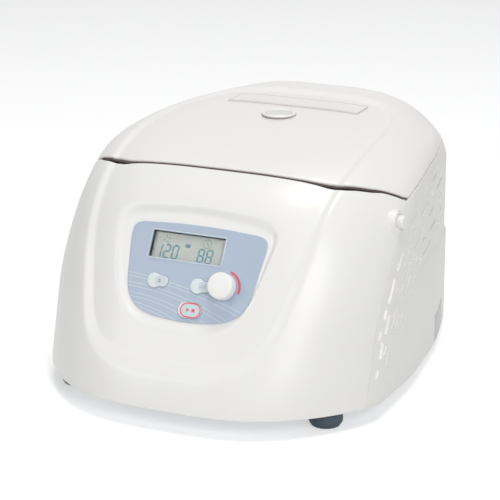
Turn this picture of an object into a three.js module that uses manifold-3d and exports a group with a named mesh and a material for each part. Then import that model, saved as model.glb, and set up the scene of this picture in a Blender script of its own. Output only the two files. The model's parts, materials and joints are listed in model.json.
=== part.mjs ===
// Hematocrit centrifuge: a bench machine that spins capillary tubes in a flat radial rotor under a wrap-round lid.
// Front faces -Y, +X is the right-hand side, Z is up and the feet stand on Z = 0. Lengths are millimetres.
import * as THREE from "three";
import { mergeVertices } from "three/addons/utils/BufferGeometryUtils.js";
import Module from "manifold-3d";

const wasm = await Module();
wasm.setup();

// Overall sizes and the clearances that every piece shares
const halfWidth = 140;
const halfDepth = 160;
const crownHeight = 200;
const wall = 3;
const gap = 0.3;
const overrun = 5;
const farOut = 400;
const roundSides = 28;
const middleSides = 16;
const smallSides = 12;

// Housing form: a wrap that fans about a low rear edge, between two bowed cheeks
const hubHeight = 4;
const centreShares = [
  [-1, 0.08], [-0.975, 0.14], [-0.938, 0.205], [-0.894, 0.27], [-0.839, 0.35], [-0.783, 0.4355], [-0.717, 0.541],
  [-0.654, 0.6366], [-0.585, 0.727], [-0.518, 0.792], [-0.434, 0.847], [-0.333, 0.892], [-0.227, 0.922],
  [-0.09, 0.946], [0.093, 0.971], [0.329, 0.987], [0.569, 0.9967], [0.813, 1], [1, 0.995],
];
const sideShares = [
  [-0.486, 0.0794], [-0.461, 0.1587], [-0.433, 0.248], [-0.4, 0.365], [-0.348, 0.463], [-0.28, 0.542],
  [-0.201, 0.6256], [-0.111, 0.7056], [-0.032, 0.764], [0.055, 0.812], [0.171, 0.844], [0.336, 0.8644],
  [0.499, 0.874], [0.649, 0.872], [0.813, 0.846], [1, 0.7825],
];
const cheekShares = [[-0.425, 1], [-0.18, 0.996], [0.063, 0.98], [0.303, 0.944], [0.556, 0.903], [1, 0.781]];
const bowPowers = [[2, 3.04], [20, 3.7], [40, 3.8], [60, 4], [90, 3.68]];
const shoulderRadius = 10;
const sectionAngles = [8, 16, 23, 30, 36, 42, 48, 55, 64, 77, 90];
const sectionCuts = 5;
const shoulderCuts = 2;
const cheekCuts = 2;

// Shield recess over front and lid, panel recess inside it
const recessDepth = 4;
const panelCentreX = -4;
const shieldOuterShares = [
  [0, 6], [0.209, 6.2], [0.378, 7.1], [0.496, 8.8], [0.574, 11.8], [0.617, 15.6], [0.653, 20], [0.692, 25.8],
  [0.702, 32.4], [0.693, 39.1], [0.69, 44.9], [0.676, 51.7], [0.645, 58.2], [0.606, 64.9], [0.57, 71],
  [0.54, 76.5], [0.462, 79.6], [0.213, 81.3], [0, 81.6],
];
const shieldInnerShares = [
  [0, 8.7], [0.199, 8.9], [0.358, 9.8], [0.452, 11.3], [0.509, 13.9], [0.548, 17.6], [0.581, 22], [0.62, 27.7],
  [0.636, 33.4], [0.63, 39.2], [0.625, 45], [0.611, 51.9], [0.585, 58], [0.55, 64.2], [0.516, 69.8],
  [0.484, 74.3], [0.422, 77], [0.199, 78.7], [0, 79],
];
const panelOuterShares = [
  [0, 12], [0.156, 12.2], [0.256, 13.2], [0.334, 14.9], [0.39, 17.6], [0.432, 21], [0.466, 24.9], [0.487, 27.8],
  [0.483, 29.8], [0.445, 31.1], [0.354, 31.7], [0.178, 32], [0, 32.2],
];
const panelInnerShares = [
  [0, 13.7], [0.143, 13.9], [0.228, 14.7], [0.298, 16.2], [0.348, 18.7], [0.379, 21.8], [0.403, 24.9],
  [0.417, 27.1], [0.414, 28.4], [0.383, 29.4], [0.305, 29.9], [0.149, 30], [0, 30.2],
];
const overlayShares = [
  [0, 14.1], [0.136, 14.3], [0.22, 15.1], [0.287, 16.6], [0.337, 19], [0.368, 22], [0.392, 24.9], [0.403, 26.9],
  [0.4, 28.1], [0.368, 28.9], [0.291, 29.2], [0.142, 29.4], [0, 29.5],
];
const overlayThickness = 0.8;

// Lid seam and part lines, as places on the side view in shares of half depth and crown height
const seamShares = [
  [-1.3, 1.21], [-0.267, 0.853], [-0.151, 0.819], [-0.032, 0.7745], [0.057, 0.798],
  [0.147, 0.8125], [0.349, 0.8325], [0.63, 0.847], [0.938, 0.8485],
];
const seamGap = 1.4;
const partLineShares = [
  [-0.565, -0.1], [-0.541, 0.0685], [-0.49, 0.2085], [-0.444, 0.339], [-0.384, 0.44], [-0.316, 0.523],
  [-0.242, 0.6035], [-0.158, 0.6835], [-0.032, 0.7745], [0.03, 0.82], [0.15, 0.9],
];
const partGap = 0.5;

// Side panel: the raised sweep behind the vents, and the slots themselves
const sweepRise = 1.6;
const sweepShares = [
  [-0.36, -0.1], [-0.319, 0.144], [-0.266, 0.222], [-0.166, 0.317], [-0.021, 0.398], [0.191, 0.448],
  [0.36, 0.458], [0.542, 0.448], [0.853, 0.427], [1.2, 0.4], [1.2, -0.1],
];
const slotWidth = 3.9;
const slotShares = [
  [0.556, 0.765, 0.425, 0.755], [0.756, 0.7, 0.556, 0.695], [0.281, 0.755, 0.25, 0.745],
  [0.425, 0.7, 0.394, 0.695], [0.719, 0.64, 0.65, 0.635], [0.338, 0.695, 0.188, 0.67],
  [0.488, 0.64, 0.363, 0.625], [0.794, 0.575, 0.688, 0.57], [0.094, 0.72, -0.081, 0.645],
  [0.581, 0.57, 0.388, 0.56], [0.775, 0.515, 0.738, 0.51], [0.656, 0.515, 0.6, 0.51],
  [0.119, 0.66, 0.038, 0.63], [0.219, 0.615, 0.05, 0.565], [0.294, 0.56, 0.225, 0.55],
  [0.419, 0.51, 0.238, 0.49], [-0.031, 0.605, -0.156, 0.535], [-0.169, 0.59, -0.225, 0.545],
  [-0.038, 0.53, -0.119, 0.485], [0.075, 0.515, 0.038, 0.5], [0.181, 0.49, 0.144, 0.475],
  [-0.269, 0.51, -0.331, 0.44], [-0.231, 0.49, -0.256, 0.46], [-0.15, 0.465, -0.181, 0.44],
  [-0.038, 0.475, -0.125, 0.415], [0.05, 0.455, -0.05, 0.4], [-0.363, 0.41, -0.375, 0.39],
  [-0.338, 0.385, -0.375, 0.33], [-0.25, 0.39, -0.306, 0.335], [-0.219, 0.355, -0.25, 0.32],
  [-0.144, 0.345, -0.213, 0.295], [-0.413, 0.335, -0.419, 0.32], [-0.406, 0.29, -0.425, 0.245],
  [-0.375, 0.27, -0.394, 0.25], [-0.319, 0.265, -0.369, 0.205], [-0.45, 0.19, -0.463, 0.175],
];

// Rear panel and base plate
const rearThickness = 2.5;
const rearTopShare = 0.83;
const rearTop = crownHeight * rearTopShare;
const rearBottom = 13;
const basePlateBottom = 16;
const basePlateThickness = 2;
const basePlateInset = 6.5;
const bossRadius = 4.5;
const bossShares = [[0.843, -0.3875], [0.8, 0.375]];

// Deck, chamber and seal: the bowl fills the housing, set off from its back, and hangs from the deck
const deckShare = 0.76;
const deckBottom = crownHeight * deckShare;
const deckThickness = 3;
const deckTop = deckBottom + deckThickness;
const deckFrontShare = -0.6;
const bowlWidthShare = 0.7;
const bowlDepthShare = 0.6125;
const bowlRadius = Math.min(halfWidth * bowlWidthShare, halfDepth * bowlDepthShare);
const bowlSheet = 1.5;
const bowlLip = 6;
const bowlFlange = bowlRadius + bowlLip;
const bowlMouth = 17;
const chamberSetback = 11;
const chamberY = halfDepth - chamberSetback - bowlFlange;
const sealOverlap = 0.5;
const sealRadius = bowlFlange + sealOverlap;
const sealWidth = 4;
const sealHeight = 3.2;

// Rotor, hung below the deck's top, and the bowl's floor under its hub
const rotorClearance = 6;
const rotorRadius = bowlRadius - rotorClearance;
const rotorDrop = 28;
const rotorFloor = deckTop - rotorDrop;
const rotorWeb = 7;
const rimHeight = 15;
const rimWidth = 2.5;
const rotorHubRadius = 15;
const rotorHubHeight = 12;
const hubClearance = 9;
const bowlFloor = rotorFloor - rotorHubHeight - hubClearance;
const tubeCount = 24;
const tubeSlotWidth = 2.2;
const tubeSlotDepth = 3.2;
const tubeSlotStart = 16;
const gasketWidth = 2.2;
const gasketHeight = 4.5;
const coverThickness = 2;
const coverEdge = 4;
const coverRimRadius = rotorRadius - coverEdge;
const coverDish = 2;
const nutRadius = 11;
const nutHeight = 12;
const nutGrips = 10;
const gripRadius = 1.4;

// Motor and its mount
const shaftRadius = 4;
const motorRadius = 33;
const motorBottom = 38;
const motorDrop = 8;
const motorHeight = bowlFloor - motorDrop - motorBottom;
const motorCapRadius = 14;
const motorCapHeight = 3;
const mountSide = 96;
const mountThickness = 3;
const mountCorner = 12;
const damperRadius = 7;
const damperWaist = 5.2;
const damperInset = 12;

// Lid furniture
const lidLinerRise = 3.8;
const lidLinerBottom = deckTop + lidLinerRise;
const lidLinerThickness = 2.5;
const lidLinerRim = 1.5;
const lidLinerRimWidth = 2;
const lidLinerInset = 3;
const lidLinerFrontShare = -0.19;
const lidLinerFrontY = halfDepth * lidLinerFrontShare;
const lidPostRadius = 4;
const lidPostShares = [[0.6, -0.05], [0.657, 0.625]];
const labelWidthShare = 0.41;
const labelRearAngle = 75.2;
const labelDepth = 26;
const labelThickness = 0.6;
const labelOffset = 12;
const labelRise = crownHeight - recessDepth - hubHeight;
const labelRearY = halfDepth - labelRise / Math.tan((labelRearAngle * Math.PI) / 180);
const labelFrontY = labelRearY - labelDepth;
const windowRingRadius = 13.8;
const windowY = labelFrontY - labelOffset - windowRingRadius;
const windowRingHeight = 2.2;
const windowBore = 10.4;
const windowTube = 11.8;
const lensThickness = 1.6;

// Hinge
const hingeInset = 6.5;
const hingeY = halfDepth - hingeInset;
const hingeRise = 6;
const hingeZ = deckTop + hingeRise;
const barrelRadius = 3.2;
const pinRadius = 1.5;
const knuckleShare = 0.386;
const knuckleX = halfWidth * knuckleShare;
const knuckleLength = 6;
const hingeArmReach = 36;
const hingeArmThickness = 2.5;
const bracketDepth = 5.6;
const liftAngle = 80;
const linerSetback = 7.5;
const lidLinerRearY = hingeY - linerSetback;

// Release button, its slider and the lid hook, all on one line across the machine, from the button's tip inwards
const latchShare = -0.15;
const latchY = halfDepth * latchShare;
const latchDrop = 9.5;
const latchZ = deckBottom - latchDrop;
const buttonInset = 0.8;
const buttonTipX = halfWidth - buttonInset;
const buttonRadius = 6.3;
const buttonLength = 17.2;
const buttonInnerX = buttonTipX - buttonLength;
const collarRadius = 9.7;
const collarInset = 8.5;
const collarOuterX = halfWidth - collarInset;
const collarLength = 12.5;
const collarInnerX = collarOuterX - collarLength;
const rodRadius = 3;
const rodLength = 15;
const sliderOuterX = buttonInnerX - rodLength;
const sliderLength = 20;
const sliderInnerX = sliderOuterX - sliderLength;
const sliderWidth = 14;
const sliderThickness = 3;
const sliderWindow = { lead: 2.2, length: 8.8, width: 9.4 };
const sliderWindowInnerX = sliderInnerX + sliderWindow.lead;
const sliderWindowOuterX = sliderWindowInnerX + sliderWindow.length;
const releaseTravel = 4;
const hookLead = 5;
const hookX = sliderInnerX + hookLead;
const hookThickness = 2.2;
const hookWidth = 6;
const hookFoot = 12;
const hookDrop = 6.5;
const hookBottom = latchZ - hookDrop;
const hookNotch = 1;
const guideWall = 2;
const guideClearance = 0.4;

// Control panel: places along the panel, x from the middle and up from the panel's own middle
const panelAngle = 21;
const lcd = { x: -8.5, angle: 25.2, width: 61, height: 22 };
const lcdWindowSink = 2.6;
const lcdWindowThickness = 1.5;
const keys = [
  { name: "select_key", x: -28, angle: 19.5, round: 11.8, pill: 8.6, width: 16.5 },
  { name: "pulse_key", x: 7.6, angle: 19.5, round: 11.8, pill: 8.6, width: 14.6 },
  { name: "start_stop_key", x: 4.4, angle: 15.9, round: 12.5, pill: 11.2, width: 18.2 },
];
const keyTravel = 0.6;
const keyRise = 1.9;
const keyLip = 1;
const keyLipThickness = 1;
const keySeat = 1.4;
const knobPlace = { x: 28.3, angle: 19.9 };
const knobRadius = 11.6;
const knobHeight = 13;
const knobShaftRadius = 3;
const boardDepth = 15;
const boardThickness = 1.6;
const boardWidth = 104;
const boardHeight = 62;
const boardPostRadius = 3;
const boardPostInset = 5;
const switchSide = 6;
const encoderSide = 12;

// Power side
const rearFittingShares = { inletX: -0.4143, switchX: 0.4, z: 0.31 };
const fittingZ = crownHeight * rearFittingShares.z;
const inlet = { x: halfWidth * rearFittingShares.inletX, z: fittingZ, width: 30, height: 23,
  flangeWidth: 50, flangeHeight: 30, depth: 26 };
const inletFlange = 2.2;
const inletWall = 2.4;
const inletSocketDepth = 17;
const pinWidth = 4;
const pinThickness = 2;
const pinLength = 14;
const pinSpacing = 7;
const pinDrop = 3;
const fuseDrawer = { width: 22, height: 9, depth: 14, rise: 21 };
const powerSwitch = { x: halfWidth * rearFittingShares.switchX, z: fittingZ, width: 22, height: 31,
  flange: 2, depth: 20 };
const rockerWidth = 15;
const rockerHeight = 24;
const rockerLeaf = 5;
const rockerAngle = 12;
const powerBoardShare = -0.6125;
const powerBoard = { x: 0, y: halfDepth * powerBoardShare, width: 130, depth: 62, bottom: 24, thickness: 1.6 };
const coilCan = { width: 34, depth: 28, height: 26 };
const coolingFins = { width: 44, depth: 14, height: 28, count: 5, slot: 3 };
const capCan = { radius: 9, height: 26 };

// Feet
const footRadius = 13;
const footTopRadius = 10.5;
const footCrown = 4;
const footHeight = 15.7;
const footRecess = 3;
const screwRadius = 2.2;
const screwHeadRadius = 4.2;
const screwHeadHeight = 2.4;
const footShares = [
  ["front_left", -0.757, -0.6], ["front_right", 0.757, -0.6], ["rear_left", -0.6, 0.7875],
  ["rear_right", 0.6, 0.7875],
];
const feet = footShares.map(([name, x, y]) => ({ name, x: x * halfWidth, y: y * halfDepth }));

// Bare plate on the right cheek
const plateShares = [0.55, 0.8375];
const plate = { bottom: 8, top: 30, thickness: 0.7 };

const group = new THREE.Group();

const finishes = {
  shell: { color: 0xefeee9, roughness: 0.32, metalness: 0 },
  lid: { color: 0xf3f2ee, roughness: 0.28, metalness: 0 },
  side: { color: 0xe4e3de, roughness: 0.36, metalness: 0 },
  film: { color: 0xb0bed0, roughness: 0.4, metalness: 0 },
  key: { color: 0xdfe3e8, roughness: 0.42, metalness: 0 },
  knob: { color: 0xf6f5f2, roughness: 0.3, metalness: 0 },
  lcd: { color: 0xc4cbc0, roughness: 0.25, metalness: 0 },
  clear: { color: 0xe8f0f2, roughness: 0.05, metalness: 0 },
  steel: { color: 0xb9bcc0, roughness: 0.35, metalness: 1 },
  zinc: { color: 0xa9adb2, roughness: 0.45, metalness: 0.9 },
  aluminium: { color: 0xd0d3d6, roughness: 0.3, metalness: 1 },
  rubber: { color: 0x3a4146, roughness: 0.85, metalness: 0 },
  black: { color: 0x1f2124, roughness: 0.5, metalness: 0 },
  board: { color: 0x1f6b45, roughness: 0.55, metalness: 0 },
  grey: { color: 0x6f757b, roughness: 0.5, metalness: 0 },
};

// A closed list of triangle corners becomes a solid, turned the right way out
function solidFromPositions(positions) {
  const raw = new THREE.BufferGeometry();
  raw.setAttribute("position", new THREE.Float32BufferAttribute(positions, 3));
  const merged = mergeVertices(raw, 1e-4);
  const p = merged.attributes.position.array;
  const index = merged.index.array;
  const corner = (i) => new THREE.Vector3(p[3 * i], p[3 * i + 1], p[3 * i + 2]);
  const kept = [];
  let volume = 0;
  for (let i = 0; i < index.length; i += 3) {
    const [a, b, c] = [index[i], index[i + 1], index[i + 2]];
    if (a === b || b === c || a === c) continue;
    kept.push(a, b, c);
    volume += corner(a).dot(corner(b).cross(corner(c)));
  }
  if (volume < 0) kept.reverse();
  return new wasm.Manifold(
    new wasm.Mesh({ numProp: 3, vertProperties: p, triVerts: new Uint32Array(kept) }),
  );
}

function solidOf(geometry, matrix = new THREE.Matrix4()) {
  const flat = geometry.index ? geometry.toNonIndexed() : geometry;
  flat.applyMatrix4(matrix);
  return solidFromPositions(Array.from(flat.attributes.position.array));
}

function place(at = [0, 0, 0], turn = [0, 0, 0]) {
  const euler = new THREE.Euler(...turn);
  return new THREE.Matrix4().makeRotationFromEuler(euler).setPosition(...at);
}

const turns = { x: [0, Math.PI / 2, 0], y: [-Math.PI / 2, 0, 0], z: [0, 0, 0] };

function box(size, at, frame = new THREE.Matrix4()) {
  return solidOf(new THREE.BoxGeometry(...size), frame.clone().multiply(place(at)));
}

// A box from its low corner to its high corner
function block(low, high) {
  const size = low.map((v, i) => high[i] - v);
  return box(size, low.map((v, i) => v + size[i] / 2));
}

// A straight round bar from one end to the other along an axis
function bar(radius, from, length, axis = "z", sides = middleSides, frame = new THREE.Matrix4()) {
  const round = new THREE.CylinderGeometry(radius, radius, length, sides);
  round.rotateX(Math.PI / 2).translate(0, 0, length / 2);
  return solidOf(round, frame.clone().multiply(place(from, turns[axis])));
}

// A closed profile of radius and height, turned about its axis
function turned(profile, at, sides = roundSides, frame = new THREE.Matrix4(), axis = "z") {
  const points = [...profile, profile[0]].map(([r, h]) => new THREE.Vector2(r, h));
  const round = new THREE.LatheGeometry(points, sides).rotateX(Math.PI / 2);
  return solidOf(round, frame.clone().multiply(place(at, turns[axis])));
}

function extruded(outline, depth, matrix) {
  const shape = new THREE.Shape(outline.map(([x, y]) => new THREE.Vector2(x, y)));
  return solidOf(new THREE.ExtrudeGeometry(shape, { depth, bevelEnabled: false, curveSegments: 6 }), matrix);
}

// An outline on the side view (y, z), extruded across the machine from one x to another
function acrossX(outline, fromX, toX) {
  const basis = new THREE.Matrix4().makeBasis(
    new THREE.Vector3(0, 1, 0), new THREE.Vector3(0, 0, 1), new THREE.Vector3(1, 0, 0),
  );
  return extruded(outline, toX - fromX, basis.setPosition(fromX, 0, 0));
}

function fuse(solids) {
  return solids.reduce((whole, s) => whole.add(s));
}

function addNode(name, solid, finish) {
  const mesh = solid.getMesh();
  const geometry = new THREE.BufferGeometry();
  geometry.setAttribute("position", new THREE.Float32BufferAttribute(mesh.vertProperties, 3));
  geometry.setIndex(new THREE.Uint32BufferAttribute(mesh.triVerts, 1));
  geometry.computeVertexNormals();
  const node = new THREE.Mesh(geometry, new THREE.MeshStandardMaterial(finishes[finish]));
  node.name = name;
  group.add(node);
}

// Smooth curve through knots, with slopes taken from the neighbours
function curveThrough(knots) {
  const xs = knots.map((k) => k[0]);
  const ys = knots.map((k) => k[1]);
  const last = xs.length - 1;
  const steps = xs.slice(1).map((x, i) => (ys[i + 1] - ys[i]) / (x - xs[i]));
  const slopes = xs.map((x, i) => (i === 0 ? steps[0] : i === last ? steps[last - 1] : (steps[i - 1] + steps[i]) / 2));
  return (t) => {
    const at = Math.min(Math.max(t, xs[0]), xs[last]);
    let i = 0;
    while (i < last - 1 && at > xs[i + 1]) i += 1;
    const h = xs[i + 1] - xs[i];
    const s = (at - xs[i]) / h;
    const rest = 1 - s;
    return rest * rest * (1 + 2 * s) * ys[i] + s * s * (3 - 2 * s) * ys[i + 1]
      + s * rest * h * (rest * slopes[i] - s * slopes[i + 1]);
  };
}

const radians = (degrees) => (degrees * Math.PI) / 180;
const sideView = ([y, z]) => [y * halfDepth, z * crownHeight];

// Knots of a side-view line as angle and reach from the rear hub
function fanKnots(shares) {
  return shares.map(sideView).map(([y, z]) => {
    const back = halfDepth - y;
    const rise = z - hubHeight;
    return [THREE.MathUtils.radToDeg(Math.atan2(rise, back)), Math.hypot(rise, back)];
  });
}

const centreReach = curveThrough(fanKnots(centreShares));
const sideReach = curveThrough(fanKnots(sideShares));
const bowPower = curveThrough(bowPowers);
const cheekAt = curveThrough(cheekShares.map(([y, x]) => [y * halfDepth, x * halfWidth]));
const firstAngle = fanKnots(centreShares)[0][0];
const shoulderShare = shoulderRadius / halfWidth;

// Point of the housing's skin: across is -1..1 from cheek to cheek, inset moves it inwards
function wrapPoint(across, angle, inset = 0, share = 1) {
  const a = radians(angle);
  const u = Math.abs(across);
  const round = Math.max(0, (u - 1 + shoulderShare) / shoulderShare);
  const drop = shoulderRadius * (1 - Math.sqrt(Math.max(0, 1 - round * round)));
  const bow = (centreReach(angle) - sideReach(angle)) * u ** bowPower(angle);
  const reach = (centreReach(angle) - bow - drop - inset) * share;
  const y = halfDepth - reach * Math.cos(a);
  return [across * (cheekAt(y) - inset), y, hubHeight + reach * Math.sin(a)];
}

// Point of the skin above a given x, sunk by a depth
function skinPoint(x, angle, depth = 0) {
  let across = x / halfWidth;
  for (let i = 0; i < 6; i += 1) {
    across = x / cheekAt(wrapPoint(across, angle, depth)[1]);
  }
  const p = wrapPoint(Math.max(-1, Math.min(1, across)), angle, depth);
  return [x, p[1], p[2]];
}

// One fan section: up the left cheek, over the wrap and down the right cheek
function fanSection(angle, inset) {
  const flat = 1 - shoulderShare;
  const half = [];
  for (let i = 1; i <= sectionCuts; i += 1) half.push((flat * i) / sectionCuts);
  for (let i = 1; i <= shoulderCuts; i += 1) {
    half.push(flat + shoulderShare * Math.sin((Math.PI / 2) * (i / shoulderCuts)));
  }
  const across = [...half.map((u) => -u).reverse(), 0, ...half];
  const cheek = (side) => {
    const points = [];
    for (let j = 0; j < cheekCuts; j += 1) points.push(wrapPoint(side, angle, inset, j / cheekCuts));
    return points;
  };
  return [...cheek(-1), ...across.map((u) => wrapPoint(u, angle, inset)), ...cheek(1).reverse()];
}

function pushQuad(out, a, b, c, d) {
  out.push(...a, ...b, ...c, ...a, ...c, ...d);
}

// The filled housing form, skinned over its fan sections; the open one runs out past base and back
function housingForm(inset, open = false) {
  const spill = 6;
  const angles = [firstAngle, ...sectionAngles];
  if (open) {
    angles.unshift(firstAngle - spill);
    angles.push(90 + spill);
  }
  const sections = angles.map((angle) => fanSection(angle, inset));
  const out = [];
  const count = sections[0].length;
  for (let k = 0; k + 1 < sections.length; k += 1) {
    for (let i = 0; i + 1 < count; i += 1) {
      pushQuad(out, sections[k][i], sections[k][i + 1], sections[k + 1][i + 1], sections[k + 1][i]);
    }
  }
  const cap = (section, turn) => {
    const flat = section.map(([x, y, z]) => new THREE.Vector2(x, Math.hypot(halfDepth - y, z - hubHeight)));
    for (const face of THREE.ShapeUtils.triangulateShape(flat, [])) {
      const [a, b, c] = face.map((i) => flat[i]);
      const way = Math.sign(b.clone().sub(a).cross(c.clone().sub(a))) * turn;
      const ordered = way > 0 ? face : [...face].reverse();
      for (const i of ordered) out.push(...section[i]);
    }
  };
  cap(sections[0], 1);
  cap(sections[sections.length - 1], -1);
  return solidFromPositions(out);
}

// A closed loop on the skin through knots of half width share and angle, mirrored about a centre line
function skinLoop(shares, centreX, count, spread = 1) {
  const right = shares.map(([x, angle]) => [x * halfWidth, angle]);
  const left = right.slice(1, -1).reverse().map(([x, angle]) => [-x, angle]);
  const middle = (shares[0][1] + shares[shares.length - 1][1]) / 2;
  const knots = [...right, ...left].map(
    ([x, angle]) => new THREE.Vector3(x * spread, middle + (angle - middle) * spread, 0),
  );
  const loop = new THREE.CatmullRomCurve3(knots, true, "centripetal");
  return Array.from({ length: count }, (_, i) => {
    const p = loop.getPoint(i / count);
    return [centreX + p.x, p.y];
  });
}

// A plug over the skin through loops at given depths, closed above the skin and deep below it
function skinPlug(loops, depths) {
  const rings = 2;
  const top = -overrun * 5;
  const foot = recessDepth * 5;
  const inner = loops[loops.length - 1];
  const centre = inner.reduce((s, p) => [s[0] + p[0] / inner.length, s[1] + p[1] / inner.length], [0, 0]);
  const all = [...loops];
  const sunk = [...depths];
  for (let k = rings; k >= 0; k -= 1) {
    const share = k / rings;
    all.push(inner.map(([x, a]) => [centre[0] + (x - centre[0]) * share, centre[1] + (a - centre[1]) * share]));
    sunk.push(foot);
  }
  const low = all.map((loop, k) => loop.map(([x, a]) => skinPoint(x, a, sunk[k])));
  const high = all.map((loop) => loop.map(([x, a]) => skinPoint(x, a, top)));
  const out = [];
  const n = inner.length;
  for (let i = 0; i < n; i += 1) {
    const j = (i + 1) % n;
    for (let k = 0; k + 1 < all.length; k += 1) {
      pushQuad(out, low[k][i], low[k + 1][i], low[k + 1][j], low[k][j]);
      pushQuad(out, high[k][i], high[k][j], high[k + 1][j], high[k + 1][i]);
    }
    pushQuad(out, low[0][i], low[0][j], high[0][j], high[0][i]);
  }
  return solidFromPositions(out);
}

// A dish cut into the skin: sloped rim from one loop to the other, floor at an even depth
function skinDish(outerShares, innerShares, count, depth, spread) {
  const lead = 1.03;
  const rise = recessDepth / 3;
  const loops = [
    skinLoop(outerShares, panelCentreX, count, spread * lead),
    skinLoop(innerShares, panelCentreX, count, spread),
  ];
  return skinPlug(loops, [depth - recessDepth - rise, depth]).subtract(housingForm(depth));
}

const loopPoints = { shield: 24, panel: 20 };
const shieldDish = (depth, spread) => skinDish(shieldOuterShares, shieldInnerShares, loopPoints.shield,
  depth, spread);
const panelDish = (depth, spread) => skinDish(panelOuterShares, panelInnerShares, loopPoints.panel, depth, spread);

// An even layer that lies on the skin between two depths
function skinLayer(top, bottom) {
  return housingForm(top).subtract(housingForm(bottom));
}

// Local frame on the sunk panel floor, x to the right, y up the panel, z outwards
function skinFrame(x, angle, depth) {
  const step = 0.5;
  const p = new THREE.Vector3(...skinPoint(x, angle, depth));
  const right = new THREE.Vector3(...skinPoint(x + step * shoulderRadius, angle, depth)).sub(p).normalize();
  const up = new THREE.Vector3(...skinPoint(x, angle + step, depth)).sub(p).normalize();
  const out = new THREE.Vector3().crossVectors(right, up).normalize();
  const trueUp = new THREE.Vector3().crossVectors(out, right);
  return new THREE.Matrix4().makeBasis(right, trueUp, out).setPosition(p);
}

const panelFloor = recessDepth * 2;
const panelFrame = skinFrame(0, panelAngle, panelFloor);
const keyFrames = keys.map((key) => skinFrame(key.x, key.angle, panelFloor));
const knobFrame = skinFrame(knobPlace.x, knobPlace.angle, panelFloor);
const lcdFrame = skinFrame(lcd.x, lcd.angle, panelFloor);

// A pill outline, long way along x
function pill(width, height, grow = 0) {
  const r = height / 2 + grow;
  const straight = width / 2 - height / 2;
  const points = [];
  const arc = 4;
  for (const side of [1, -1]) {
    for (let i = 0; i <= arc; i += 1) {
      const a = (i / arc - 1 / 2) * Math.PI;
      points.push([side * (straight + r * Math.cos(a)), side * r * Math.sin(a)]);
    }
  }
  return points;
}

// A key's form between two heights: a round at its left end, run into a pill on the right
function keyForm(key, grow, low, high, frame) {
  const length = key.width - key.round / 2;
  const middle = (key.round / 2 - key.width / 2) + length / 2;
  const seat = frame.clone().multiply(place([middle, 0, low]));
  const end = [(key.round - key.width) / 2, 0, low];
  return extruded(pill(length, key.pill, grow), high - low, seat)
    .add(bar(key.round / 2 + grow, end, high - low, "z", middleSides, frame));
}

function panelOpenings() {
  const cuts = [
    box([lcd.width, lcd.height, recessDepth * 4], [0, 0, 0], lcdFrame),
    bar(knobShaftRadius + gap * 2, [0, 0, -recessDepth * 2], recessDepth * 4, "z", smallSides, knobFrame),
  ];
  keys.forEach((key, i) => {
    cuts.push(keyForm(key, gap, -recessDepth * 2, recessDepth * 2, keyFrames[i]));
  });
  return fuse(cuts);
}

// Side-view regions that split the shell
const seamLine = seamShares.map(sideView);
const rearSeam = (radius) => {
  const out = [];
  for (const share of [0.25, 0.5, 0.75, 1, 1.3]) {
    const y = hingeY + (halfDepth - hingeY) * share;
    out.push([y, hingeZ + Math.sqrt(Math.max(0, radius * radius - (y - hingeY) ** 2))]);
  }
  return out;
};
const seamRise = seamLine[seamLine.length - 1][1] - hingeZ;

function belowSeam() {
  const line = seamLine.map(([y, z]) => [y, z - seamGap / 2]);
  const tail = rearSeam(seamRise - seamGap / 2).map(([y, z]) => [y, Math.min(z, line[line.length - 1][1])]);
  return acrossX([[-farOut, -farOut], [farOut, -farOut], ...[...line, ...tail].reverse(), [-farOut, line[0][1]]],
    -farOut, farOut);
}

function aboveSeam() {
  const line = seamLine.map(([y, z]) => [y, z + seamGap / 2]);
  const tail = rearSeam(seamRise + seamGap).map(([y, z]) => [y, Math.min(z, line[line.length - 1][1])]);
  return acrossX([[-farOut, farOut], [-farOut, line[0][1]], ...line, ...tail, [farOut, tail[tail.length - 1][1]],
    [farOut, farOut]], -farOut, farOut);
}

function partRegion(side) {
  const line = partLineShares.map(sideView).map(([y, z]) => [y + (side * partGap) / 2, z]);
  const edge = side * farOut;
  return acrossX([[edge, line[0][1]], ...line, [edge, line[line.length - 1][1]]], -farOut, farOut);
}

function slotCutter(side) {
  const cuts = slotShares.map(([y1, z1, y2, z2]) => {
    const a = new THREE.Vector2(y1 * halfDepth, z1 * crownHeight);
    const b = new THREE.Vector2(y2 * halfDepth, z2 * crownHeight);
    const along = a.clone().sub(b).normalize().multiplyScalar(slotWidth / 2);
    a.add(along);
    b.sub(along);
    const over = new THREE.Vector2(-along.y, along.x);
    const outline = [
      a.clone().add(over), b.clone().add(over), b.clone().sub(over), a.clone().sub(over),
    ].map((p) => [p.x, p.y]);
    const near = (halfWidth * 2) / 3;
    const far = halfWidth + overrun;
    return side > 0 ? acrossX(outline, near, far) : acrossX(outline, -far, -near);
  });
  return fuse(cuts);
}

const skinForm = housingForm(0);
const cavity = housingForm(wall, true);
const trimForm = housingForm(wall + gap * 2);
const cavityTrim = cavity.subtract(shieldDish(recessDepth + wall, 1 + wall / halfWidth))
  .subtract(panelDish(recessDepth * 2 + wall, 1 + wall / halfWidth * 2));
const sculpted = skinForm.subtract(shieldDish(recessDepth, 1)).subtract(panelDish(recessDepth * 2, 1));
const shell = sculpted.subtract(cavityTrim);
const collarHole = bar(collarRadius + gap, [halfWidth / 2, latchY, latchZ], halfWidth, "x", middleSides);

function frontCasing() {
  const posts = [-1, 1].flatMap((sx) => [-1, 1].map((sy) => {
    const at = [
      sx * (boardWidth / 2 - boardPostInset), sy * (boardHeight / 2 - boardPostInset), -boardDepth + gap,
    ];
    return bar(boardPostRadius, at, boardDepth - wall / 2 + overrun, "z", smallSides, panelFrame);
  }));
  const reached = fuse(posts).intersect(sculpted);
  return shell.subtract(panelOpenings()).add(reached).intersect(belowSeam()).intersect(partRegion(-1))
    .subtract(collarHole);
}

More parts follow.
